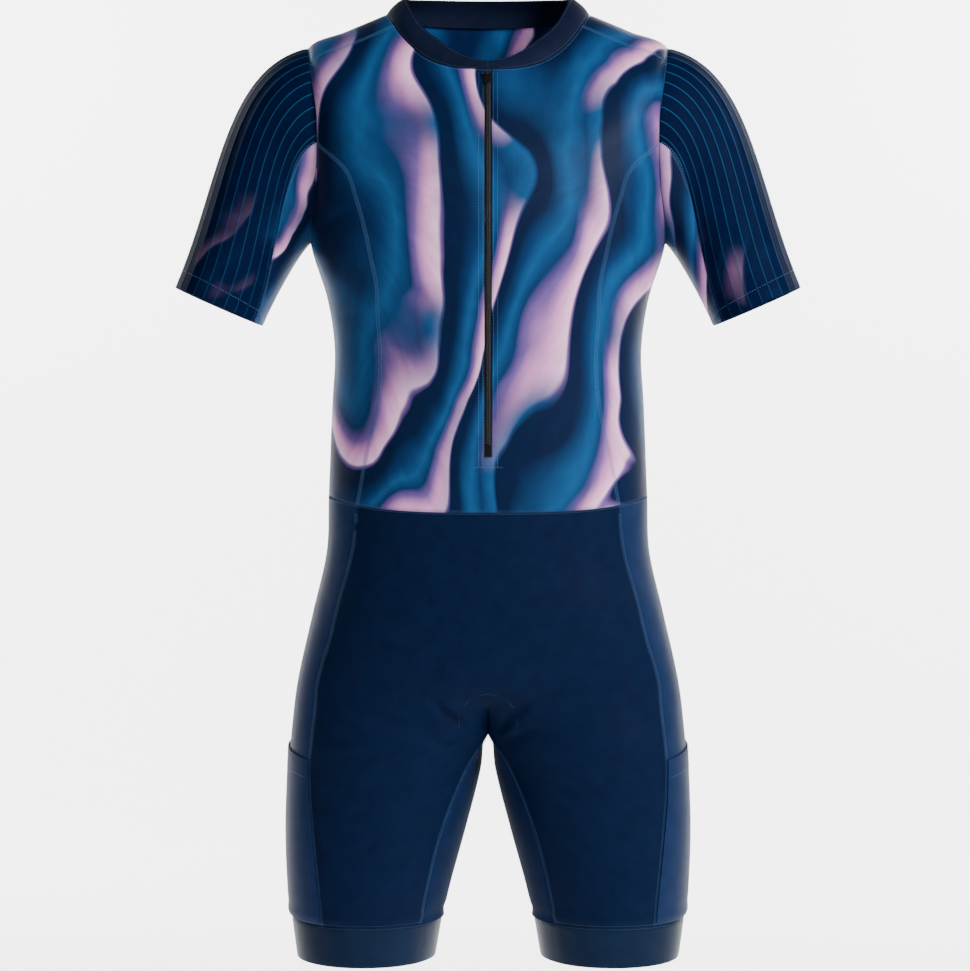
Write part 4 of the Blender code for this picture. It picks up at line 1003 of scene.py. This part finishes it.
def print_group():
    """A marbled print: crests of pink that melt through purple into blue and navy."""
    net, vector, made = new_group("marbled_print", {"Color": "NodeSocketColor"})
    place = net.add("ShaderNodeMapping", {
        "Vector": vector, "Rotation": PRINT_LEAN, "Scale": PRINT_STRETCH}).outputs[0]
    for scale, reach, detail in PRINT_LAYERS:
        swirl = net.noise(place, scale, detail)["Color"]
        shift = net.vectors("SUBTRACT", {0: swirl, 1: (0.5, 0.5, 0.5)})
        shift = net.vectors("SCALE", {0: shift, "Scale": 2 * reach})
        place = net.vectors("ADD", {0: place, 1: shift})
    wave = net.add(
        "ShaderNodeTexWave", {"Vector": place, "Scale": WAVE_SCALE / PRINT_PERIOD, "Distortion": 0.0},
        wave_type="BANDS", bands_direction="X", wave_profile="SAW").outputs["Fac"]
    amount = net.ranged(net.noise(vector, *CREST_PATCHES)["Fac"], CREST_SHARE)
    net.set(made["Color"], net.mix(amount, net.ramp(wave, PRINT_CALM), net.ramp(wave, PRINT_CREST)))
    return net.tree


def knit_group():
    """A fine stretch knit: a height for bump and a slight shade."""
    net, vector, made = new_group("stretch_knit", {"Height": "NodeSocketFloat", "Shade": "NodeSocketFloat"})
    wales = net.add("ShaderNodeTexWave", {"Vector": vector, "Scale": KNIT_WALES, "Distortion": KNIT_WAVER},
                    wave_type="BANDS", bands_direction="X").outputs["Fac"]
    grain = net.noise(vector, *KNIT_GRAIN)["Fac"]
    net.set(made["Height"], net.maths("ADD", net.maths("MULTIPLY", wales, KNIT_WALE_SHARE), grain))
    net.set(made["Shade"], net.ranged(net.noise(vector, *KNIT_SHADE)["Fac"], *KNIT_TONES))
    return net.tree


PRINT_TREE = print_group()
KNIT_TREE = knit_group()


def rib_colours(net, cloth_uv, place):
    """Navy cloth with a thin teal painted highlight on each rib's crest, stronger higher up, and a little
    of the print lower down.
    """
    ribs = net.add("ShaderNodeSeparateXYZ", {0: cloth_uv}).outputs[0]
    height = net.add("ShaderNodeSeparateXYZ", {0: place}).outputs[2]
    phase = net.maths("FRACT", net.maths("ADD", ribs, 0.5), 0.0)
    off_valley = net.maths("ABSOLUTE", net.maths("SUBTRACT", phase, 0.5), 0.0)
    # Painted highlight: a thin teal line on each rib's crest, faded lower down the sleeve
    line = net.ranged(off_valley, RIB_HIGHLIGHT_LINE, kind="SMOOTHSTEP")
    patches = net.ranged(net.noise(place, *STREAK_PATCHES)["Fac"], *STREAK_SHARE)
    low = net.ranged(height, STREAK_HEIGHTS, kind="SMOOTHSTEP")
    streaks = net.group(PRINT_TREE, place)["Color"]
    ground = net.mix(net.maths("MULTIPLY", patches, low), (*SLEEVE_NAVY, 1.0), streaks)
    return net.mix(net.maths("MULTIPLY", line, net.ranged(height, *RIB_HIGHLIGHT_STRENGTH)), ground, (*RIB_HIGHLIGHT_TEAL, 1.0))


def new_material(name, roughness):
    """A material, its net, and the inputs of its shader."""
    material = bpy.data.materials.new(name)
    material.use_nodes = True
    inputs = material.node_tree.nodes["Principled BSDF"].inputs
    inputs["Roughness"].default_value = roughness
    return material, Net(material.node_tree), inputs


def cloth_material(name, colour, roughness, specular, bump=0.25, lift=1.0, pattern=None):
    """A stretch cloth, with painted shade where it turns away from the view; lift lightens it for the inner
    side, partly for the paler reverse face and partly as painted light, since little light reaches inside.
    """
    material, net, inputs = new_material(name, roughness)
    inputs["Specular IOR Level"].default_value = specular
    place = net.add("ShaderNodeTexCoord").outputs["Object"]
    cloth_uv = net.add("ShaderNodeUVMap", uv_map="cloth").outputs["UV"]
    knit = net.group(KNIT_TREE, place if pattern == "ribs" else cloth_uv)
    tone = (*colour, 1.0)
    if pattern == "print":
        tone = net.group(PRINT_TREE, place)["Color"]
    if pattern == "ribs":
        tone = rib_colours(net, cloth_uv, place)
    # Painted shade: the colour darkens where the cloth turns away from the view; the inner side's lift is
    # multiplied in
    turned = net.add("ShaderNodeLayerWeight", {"Blend": PAINTED_EDGE_BLEND}).outputs["Facing"]
    lift_and_edge_shade = net.ranged(turned, PAINTED_EDGE_SHADE_SPAN, (lift, PAINTED_EDGE_SHADE * lift))
    net.set(inputs["Base Color"], net.shaded(tone, net.maths("MULTIPLY", knit["Shade"], lift_and_edge_shade)))
    net.set(inputs["Normal"], net.bump(knit["Height"], bump, KNIT_DEPTH))
    return material


def plain_material(name, colour, roughness, bump=0.0, metallic=0.0, coat=0.0):
    """Thread, tape, plastic or lacquer, with a fine grain."""
    material, net, inputs = new_material(name, roughness)
    inputs["Metallic"].default_value = metallic
    inputs["Coat Weight"].default_value = coat
    inputs["Coat Roughness"].default_value = COAT_ROUGHNESS
    place = net.add("ShaderNodeTexCoord").outputs["Object"]
    grain = net.noise(place, *GRAIN)["Fac"]
    net.set(inputs["Base Color"], net.shaded((*colour, 1.0), net.ranged(grain, *GRAIN_TONES)))
    if bump:
        net.set(inputs["Normal"], net.bump(grain, bump, GRAIN_DEPTH))
    return material


PRINTED = cloth_material("printed_stretch_cloth", PRINT_BLUE, 0.50, 0.07, pattern="print")
# The inner sides are lightened by lift: partly the paler reverse face of the cloth, partly painted light,
# since little light reaches inside the suit
PRINTED_INSIDE = cloth_material("printed_cloth_inside", PRINT_BLUE, 0.80, 0.05, lift=2.2, pattern="print")
RIBBED = cloth_material("ribbed_sleeve_cloth", SLEEVE_NAVY, 0.60, 0.02, pattern="ribs")
DARK_INSIDE = cloth_material("navy_cloth_inside", SHORTS_NAVY, 0.80, 0.05, lift=1.5)
SHORTS = cloth_material("navy_shorts_cloth", SHORTS_NAVY, 0.60, 0.03, bump=0.3)
PANELS = cloth_material("navy_panel_cloth", PANEL_NAVY, 0.50, 0.05)
COLLAR = cloth_material("navy_collar_cloth", COLLAR_NAVY, 0.66, 0.03)
BANDS = cloth_material("gripper_band_cloth", BAND_NAVY, 0.42, 0.07, bump=0.10)
TAPE = plain_material("black_zip_tape", ZIP_BLACK, 0.8, bump=0.4)
COIL = plain_material("black_zip_coil", COIL_BLACK, 0.38)
LACQUER = plain_material("black_zip_lacquer", ZIP_BLACK, 0.28, metallic=0.4, coat=0.5)
THREAD = plain_material("light_blue_thread", THREAD_BLUE, 0.6)
BLUE_THREAD = plain_material("blue_thread", BLUE_THREAD_BLUE, 0.6)
DARK_THREAD = plain_material("navy_thread", DARK_THREAD_BLUE, 0.6)


# ---------------------------------------------------------------- stitches and zip teeth
STITCH_PITCH = 0.0027
STITCH_LENGTH = 0.0021
THREAD_WIDTH = 0.00042
SEAM_OFFSET = 0.0017  # of a flat seam's two rows from the seam
LADDER_PITCH = 0.0021  # of the threads across it
SLEEVE_SEAM_SPREAD = (1.0, 0.1, 1.6)  # the armhole's row, ladder and ladder length, in offsets
CUFF_ROW = 0.945  # the share of the sleeve's length where its hem is sewn
LIFT = 0.0001  # keeps a row of stitches on top of raised cloth
ZIP_STITCH_OFF = (0.005, 0.009)  # the rows beside the zip, from its middle
ZIP_STITCH_END = 0.010  # they run this far past its end
ZIP_STITCH_FOOT = 0.014  # half the length of the row across it there
ZIP_STITCH_START = 0.004
NECK_ROW_START = 0.6  # degrees from the front
UNDER_SEAM_RUN = (0.01, 0.995)  # shares of the sleeve's length
WAIST_RUN = (0.2, 179.8)  # degrees from the front
POCKET_STITCH_ROWS = (5, 44)
COLLAR_STITCH_ROWS = (0.08, 0.92)
COLLAR_STITCH_START = 6.0  # degrees from the front
PAD_TURNS = (90, -10)  # degrees of the pad's outline that are stitched, on each side
PAD_POINTS = 14
PAD_GUESS = (8.0, 0.04)  # degrees from the front, and how far above the fork
TOOTH_PITCH = 0.00060
TOOTH_LENGTH = 0.0024
TOOTH_WIDTH = 0.00085
TOOTH_OFF = 0.0008  # from the middle line
TOOTH_INSET = 0.001  # the rows of teeth stop short of the zip's ends
DIRECTION_SPAN = 0.3  # a line's direction is taken over this share of a step each way
FINER = 6  # points on the cloth to each point of a line that is sewn


def laid_line(surface, line, offset=0.0, lift=0.0):
    """A line on a surface, as dense points and normals; offset is to one side of it."""
    fine = np.linspace(0, 1, FINER * len(line))
    u, v = (np.interp(fine, np.linspace(0, 1, len(line)), line[:, k]) for k in range(2))
    points, out = surface.at(u, v), normals(surface, u, v)
    points = points + unit(np.cross(out, np.gradient(points, axis=0))) * offset
    return points + out * (relief(points, out) + lift)[:, None], out


def spaced(points, out, pitch):
    """Places at even steps along a line, with the directions along it and out of it."""
    run = lengths_along(points)
    count = max(int(run[-1] / pitch), 1)
    at = (np.arange(count) + 0.5) * run[-1] / count

    def pick(values, where):
        return np.stack([np.interp(where, run, values[:, k]) for k in range(3)], axis=1)

    span = pitch * DIRECTION_SPAN
    along = pick(points, at + span) - pick(points, at - span)
    return pick(points, at), along, pick(out, at)


class Stitches:
    """Gathers stitches, and turns them into one mesh with a node tree."""

    def __init__(self):
        self.places, self.turns, self.lengths = [], [], []

    def put(self, places, along, out, length):
        along = unit(along)
        out = unit(out - along * np.einsum("ij,ij->i", out, along)[:, None])
        across = np.cross(out, along)
        self.places.append(places)
        self.turns.append(np.stack([
            np.arctan2(across[:, 2], out[:, 2]),
            -np.arcsin(np.clip(along[:, 2], -1, 1)),
            np.arctan2(along[:, 1], along[:, 0]),
        ], axis=1))
        self.lengths.append(np.full(len(places), length))

    def lay(self, points, out, pitch=STITCH_PITCH, length=STITCH_LENGTH, across=False):
        """Stitches along a line and along its mirror image."""
        for flip in (1.0, -1.0):
            turned = np.array((flip, 1.0, 1.0))
            places, along, up = spaced(points * turned, out * turned, pitch)
            self.put(places, np.cross(up, along) if across else along, up, length)

    def row(self, surface, line, offset=0.0, lift=0.0, **settings):
        self.lay(*laid_line(surface, line, offset, lift), **settings)

    def seam(self, surface, line):
        """A flat seam: a row on each side and short threads across."""
        for offset in (-SEAM_OFFSET, SEAM_OFFSET):
            self.row(surface, line, offset)
        self.row(surface, line, pitch=LADDER_PITCH, length=2 * SEAM_OFFSET, across=True)

    def made(self, name, width, material):
        mesh = bpy.data.meshes.new(name)
        mesh.from_pydata(np.concatenate(self.places).tolist(), [], [])
        turns, lengths = np.concatenate(self.turns), np.concatenate(self.lengths)
        mesh.attributes.new("turn", "FLOAT_VECTOR", "POINT").data.foreach_set("vector", turns.ravel())
        mesh.attributes.new("length", "FLOAT", "POINT").data.foreach_set("value", lengths)
        return realised(linked(name, mesh), STITCH_TREE, {"Width": width, "Material": material})


def stitch_tree():
    """Puts a small rounded bar on every point, turned and as long as its attributes say."""
    tree = bpy.data.node_groups.new("stitches", "GeometryNodeTree")
    for label, kind in (("Geometry", "Geometry"), ("Width", "Float"), ("Material", "Material")):
        tree.interface.new_socket(label, in_out="INPUT", socket_type=f"NodeSocket{kind}")
    tree.interface.new_socket("Geometry", in_out="OUTPUT", socket_type="NodeSocketGeometry")
    net = Net(tree)
    given = net.add("NodeGroupInput").outputs
    ball = net.add("GeometryNodeMeshIcoSphere", {"Radius": 0.5, "Subdivisions": 1})
    turn = net.add("GeometryNodeInputNamedAttribute", {"Name": "turn"}, data_type="FLOAT_VECTOR")
    length = net.add("GeometryNodeInputNamedAttribute", {"Name": "length"}, data_type="FLOAT")
    euler = net.add("FunctionNodeEulerToRotation", {0: turn.outputs[0]})
    size = net.add("ShaderNodeCombineXYZ", {0: length.outputs[0], 1: given["Width"], 2: given["Width"]})
    placed = net.add("GeometryNodeInstanceOnPoints", {
        "Points": given["Geometry"], "Instance": ball.outputs[0],
        "Rotation": euler.outputs[0], "Scale": size.outputs[0]})
    real = net.add("GeometryNodeRealizeInstances", {0: placed.outputs[0]})
    dressed = net.add("GeometryNodeSetMaterial", {
        "Geometry": real.outputs[0], "Material": given["Material"]})
    net.add("NodeGroupOutput", {0: dressed.outputs[0]})
    return tree


def plain_mesh(thing):
    """Keeps what an object's modifiers make of it."""
    view = bpy.context.evaluated_depsgraph_get()
    mesh = bpy.data.meshes.new_from_object(thing.evaluated_get(view))
    thing.modifiers.clear()
    thing.data = mesh
    return thing


def realised(thing, tree, values):
    """Runs a node tree on an object and keeps what it makes as a plain mesh."""
    modifier = thing.modifiers.new(tree.name, "NODES")
    modifier.node_group = tree
    for item in tree.interface.items_tree:
        if item.in_out == "INPUT" and item.name in values:
            modifier[item.identifier] = values[item.name]
    plain_mesh(thing).data.shade_smooth()
    return thing


STITCH_TREE = stitch_tree()


def run_of(u, v, count=60):
    """A line in surface coordinates; each is a value, or a start and an end."""
    ends = [value if isinstance(value, tuple) else (value, value) for value in (u, v)]
    return np.stack([np.linspace(*pair, count) for pair in ends], axis=1)


def body_stitches():
    kept = Stitches()
    for seam in (FRONT_SEAM, BACK_SEAM, SHOULDER_SEAM):
        kept.seam(SHELL, seam)
    row, ladder, length = (SEAM_OFFSET * share for share in SLEEVE_SEAM_SPREAD)
    kept.row(SHELL, ALL_PAIRS, row)
    kept.row(SHELL, ALL_PAIRS, -ladder, pitch=LADDER_PITCH, length=length, across=True)
    kept.row(SHELL, run_of((NECK_ROW_START, BACK), SEAM_OFFSET))
    for turn in (UNDER_SEAM_AT, 360 - UNDER_SEAM_AT):
        kept.seam(SLEEVE, run_of(turn, UNDER_SEAM_RUN))
    kept.row(SLEEVE, run_of((0.0, 360.0), CUFF_ROW, 180), lift=2 * LIFT)
    end = down_front_to(ZIP_END_Z - ZIP_STITCH_END)
    for off in ZIP_STITCH_OFF:
        kept.row(SHELL, down_front(off, np.linspace(ZIP_STITCH_START, end, 80)))
    kept.row(SHELL, run_of((0.05, float(angle_at(ZIP_STITCH_FOOT, end))), end, 12))
    return kept


def shorts_stitches():
    kept = Stitches()
    kept.seam(SHELL, run_of(WAIST_RUN, T_WAIST, 140))
    for seam in (SHORTS_FRONT_LINE[2:], SHORTS_BACK_LINE[2:]):
        kept.seam(SHELL, seam)
    for line in (FRONT, BACK):
        kept.seam(SHELL, run_of(line, (T_FORK + 0.002, T_BAND)))
    for t in (T_BAND - SEAM_OFFSET, T_BAND + SEAM_OFFSET):
        kept.row(BAND, run_of((-90.0, 270.0), t, 160))
    kept.row(BAND, run_of(BAND_SEAM_AT, (T_BAND, T_HEM)), lift=LIFT)
    pocket = pocket_grid()
    for row in POCKET_STITCH_ROWS:
        points, out = pocket.points[row, 1:-1], pocket.out[row, 1:-1]
        kept.lay(points + out * LIFT, out)
    return kept


def dark_stitches():
    """The collar's rows, and the outline of the pad's front, which shows through the cloth."""
    kept = Stitches()
    for up in COLLAR_STITCH_ROWS:
        kept.row(COLLAR_SURFACE, run_of((COLLAR_STITCH_START, BACK), up))
    turn = np.radians(np.linspace(*PAD_TURNS, PAD_POINTS))
    goal = PAD_CENTRE + PAD_RADIUS * np.stack([np.cos(turn), np.sin(turn)], axis=1)
    guess = np.full(PAD_POINTS, PAD_GUESS[0]), np.full(PAD_POINTS, T_FORK - PAD_GUESS[1])
    pad = shell_where(*guess, goal, [0, 2])
    kept.row(SHELL, np.maximum(pad, (FRONT, 0.0)))
    return kept


def zip_teeth(rows):
    """The coil's turns, in two rows that mesh."""
    kept = Stitches()
    line = run_of(FRONT, (TOOTH_INSET, rows[-1] - TOOTH_INSET), 200)
    for side in (-1, 1):
        points, out = laid_line(SHELL, line, offset=side * TOOTH_OFF, lift=LIFT)
        places, along, up = spaced(points, out, TOOTH_PITCH * 2)
        places = places + unit(along) * TOOTH_PITCH * side / 2
        kept.put(places, np.cross(up, along), up, TOOTH_LENGTH)
    return kept


# ---------------------------------------------------------------- the pieces
# How a piece of cloth is made: its wall's sides and thickness, its node's material slot, how far
# its edge is drawn in along the cloth, and how far the edge dips
LookRow = namedtuple("LookRow", "thick outside inside slot edge tuck", defaults=(EDGE_INSET, SEAM_TUCK))
PRINT_LOOK = LookRow(CLOTH, PRINTED, PRINTED_INSIDE, "printed_cloth")
RIB_LOOK = LookRow(CLOTH, RIBBED, DARK_INSIDE, "ribbed_cloth")
COLLAR_LOOK = LookRow(COLLAR_CLOTH, COLLAR, COLLAR, "collar_cloth")
SHORTS_LOOK = LookRow(CLOTH, SHORTS, DARK_INSIDE, "shorts_cloth")
PANEL_LOOK = LookRow(CLOTH, PANELS, DARK_INSIDE, "panel_cloth")
POCKET_LOOK = LookRow(CLOTH, PANELS, PANELS, "panel_cloth", POCKET_MARGIN, 0.0002)
BAND_LOOK = LookRow(BAND_CLOTH, BANDS, BANDS, "gripper_band")
TAPE_LOOK = LookRow(TAPE_THICK, TAPE, TAPE, "zip_tape", 0.0, 0.0)
COIL_LOOK = LookRow(COIL_THICK, TAPE, TAPE, "zip_coil", 0.0, 0.0003)


def on_suit(thing):
    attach(thing, "suit")
    return thing


def cloth_piece(node, grids, look):
    """The cloth that stands for a node."""
    thing = cloth_wall(f"{node}_cloth", grids, look)
    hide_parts(node)
    return on_suit(thing)


def one(node, grids, look):
    return [cloth_piece(node, grids, look)]


def pair(node, grid, look):
    sides = zip(("left", "right"), grid.both())
    return [cloth_piece(f"{node}_{side}", [half], look) for side, half in sides]


def zip_grid(columns, zip_rows, sunk):
    """A strip beside the middle line, below the cloth's surface."""
    lines = [down_front(x, zip_rows) for x in columns]
    return on_shell(np.stack(lines, axis=1)).lifted(-sunk)


def build_suit():
    """The cloth panels, by the names of their nodes, and the shell's rows beside the zip."""
    fronts, zip_rows = front_grids()
    tape = zip_grid(TAPE_COLUMNS, zip_rows, CLOTH + SEAM_GAP)
    coil = zip_grid(COIL_COLUMNS, zip_rows, COIL_SUNK)
    made = {
        "front_body": one("front_body", fronts, PRINT_LOOK),
        "back_body": one("back_body", back_grids(), PRINT_LOOK),
        "collar": one("collar", collar_grid().both(), COLLAR_LOOK),
        "shorts_front": one("shorts_front", shorts_grids(FRONT, SHORTS_FRONT_LINE), SHORTS_LOOK),
        "shorts_back": one("shorts_back", shorts_grids(BACK, SHORTS_BACK_LINE), SHORTS_LOOK),
        "shorts_inner": one("shorts_inner", gusset_grid().both(), PANEL_LOOK),
        "side_panel": pair("side_panel", side_panel_grid(), PRINT_LOOK),
        "sleeve_upper": pair("sleeve_upper", upper_sleeve_grid(), RIB_LOOK),
        "sleeve_under": pair("sleeve_under", sleeve_grid(UNDER_TURNS), PRINT_LOOK),
        "shorts_side": pair("shorts_side", on_shell(SHORTS_SIDE), PANEL_LOOK),
        "leg_pocket": pair("leg_pocket", pocket_grid(), POCKET_LOOK),
        "leg_band": pair("leg_band", band_grid(), BAND_LOOK),
        "zip_tape": pair("zip_tape", tape, TAPE_LOOK),
        "zip_coil": one("zip_coil", coil.both(), COIL_LOOK),
    }
    return made, zip_rows


def zip_stop():
    """The thick bar that ends the zip."""
    t = down_front_to(ZIP_END_Z + ZIP_STOP_UP)
    down = shell(FRONT, t + 0.002) - shell(FRONT, t - 0.002)
    lean = Matrix.Rotation(math.atan2(down[1], -down[2]), 4, "X")
    bpy.ops.mesh.primitive_cube_add(size=1.0)
    bar = bpy.context.object
    bar.name = "zip_stop"
    bar.data.transform(Matrix.Translation(shell(FRONT, t)) @ lean @ Matrix.Diagonal((*ZIP_STOP_SIZE, 1.0)))
    bevel = bar.modifiers.new("round", "BEVEL")
    bevel.width = ZIP_STOP_ROUNDING
    bevel.segments = 2
    plain_mesh(bar).data.materials.append(LACQUER)
    return bar


# ---------------------------------------------------------------- camera, light and stage
CAMERA_PLACE = (-0.003, -2.4, -0.440)
CAMERA_LENS = 89.07
CAMERA_SENSOR = 36.0

LightRow = namedtuple("LightRow", "name place target size energy colour")
LIGHTS = (
    LightRow("key", (2.1, -2.1, 1.2), (0.0, 0.0, -0.35), 0.9, 175.0, (1.0, 0.985, 0.96)),
    LightRow("fill", (-1.6, -2.6, 0.5), (0.0, 0.0, -0.45), 1.4, 14.0, (0.92, 0.96, 1.0)),
    LightRow("back", (0.9, 2.0, 1.0), (0.0, 0.0, -0.40), 1.2, 32.0, (1.0, 1.0, 1.0)),
    LightRow("backdrop_right", (2.4, 2.2, 1.4), (0.0, 4.6, -0.4), 1.5, 420.0, (1.0, 1.0, 1.0)),
    LightRow("backdrop_left", (-2.4, 2.2, 1.4), (0.0, 4.6, -0.4), 1.5, 420.0, (1.0, 1.0, 1.0)),
)
SKY_COLOUR = (0.93, 0.96, 1.0, 1.0)
SKY_STRENGTH = 0.12

FLOOR_Z = -1.30
SWEEP = (6.0, -5.0, 4.6, 3.0, 1.2)  # half width, front edge, back wall, height above 0, curve radius
SWEEP_STEPS = 16


def build_camera():
    data = bpy.data.cameras.new("camera")
    data.lens = CAMERA_LENS
    data.sensor_width = CAMERA_SENSOR
    camera = linked("camera", data)
    camera.location = CAMERA_PLACE
    camera.rotation_euler = (math.pi / 2, 0.0, 0.0)
    bpy.context.scene.camera = camera


def build_lights():
    for row in LIGHTS:
        data = bpy.data.lights.new(row.name, "AREA")
        data.size, data.energy, data.color = row.size, row.energy, row.colour
        light = linked(row.name, data)
        light.location = row.place
        aim = Vector(row.target) - Vector(row.place)
        light.rotation_euler = aim.to_track_quat("-Z", "Y").to_euler()
    world = bpy.data.worlds.new("studio")
    world.use_nodes = True
    sky = world.node_tree.nodes["Background"].inputs
    sky[0].default_value, sky[1].default_value = SKY_COLOUR, SKY_STRENGTH
    bpy.context.scene.world = world


def build_stage():
    """A white floor that curves up into a backdrop."""
    half, front, back, top, radius = SWEEP
    turns = [math.pi / 2 * i / SWEEP_STEPS for i in range(SWEEP_STEPS + 1)]
    curve = [(back - radius + radius * math.sin(a), FLOOR_Z + radius - radius * math.cos(a)) for a in turns]
    profile = [(front, FLOOR_Z), *curve, (back, top)]
    points = [(x, y, z) for y, z in profile for x in (-half, half)]
    faces = [(2 * i, 2 * i + 1, 2 * i + 3, 2 * i + 2) for i in range(len(profile) - 1)]
    mesh = bpy.data.meshes.new("studio_sweep")
    mesh.from_pydata(points, [], faces)
    mesh.shade_smooth()
    white, _, inputs = new_material("studio_white", 0.9)
    inputs["Base Color"].default_value = (*STUDIO_WHITE, 1.0)
    mesh.materials.append(white)
    linked("studio_sweep", mesh)


build_camera()
build_lights()
build_stage()
PIECES, ZIP_LINE = build_suit()
on_suit(body_stitches().made("upper_stitching", THREAD_WIDTH, THREAD))
on_suit(shorts_stitches().made("shorts_stitching", THREAD_WIDTH, BLUE_THREAD))
on_suit(dark_stitches().made("dark_stitching", THREAD_WIDTH, DARK_THREAD))
on_suit(zip_teeth(ZIP_LINE).made("zip_teeth", TOOTH_WIDTH, COIL))
on_suit(zip_stop())
for node in ("zip_slider", "zip_pull"):
    for slot in bpy.data.objects[node].material_slots:
        slot.material = LACQUER

# The flat cut of each panel: width, length and area in metres and square metres
SheetRow = namedtuple("SheetRow", "node width length area")
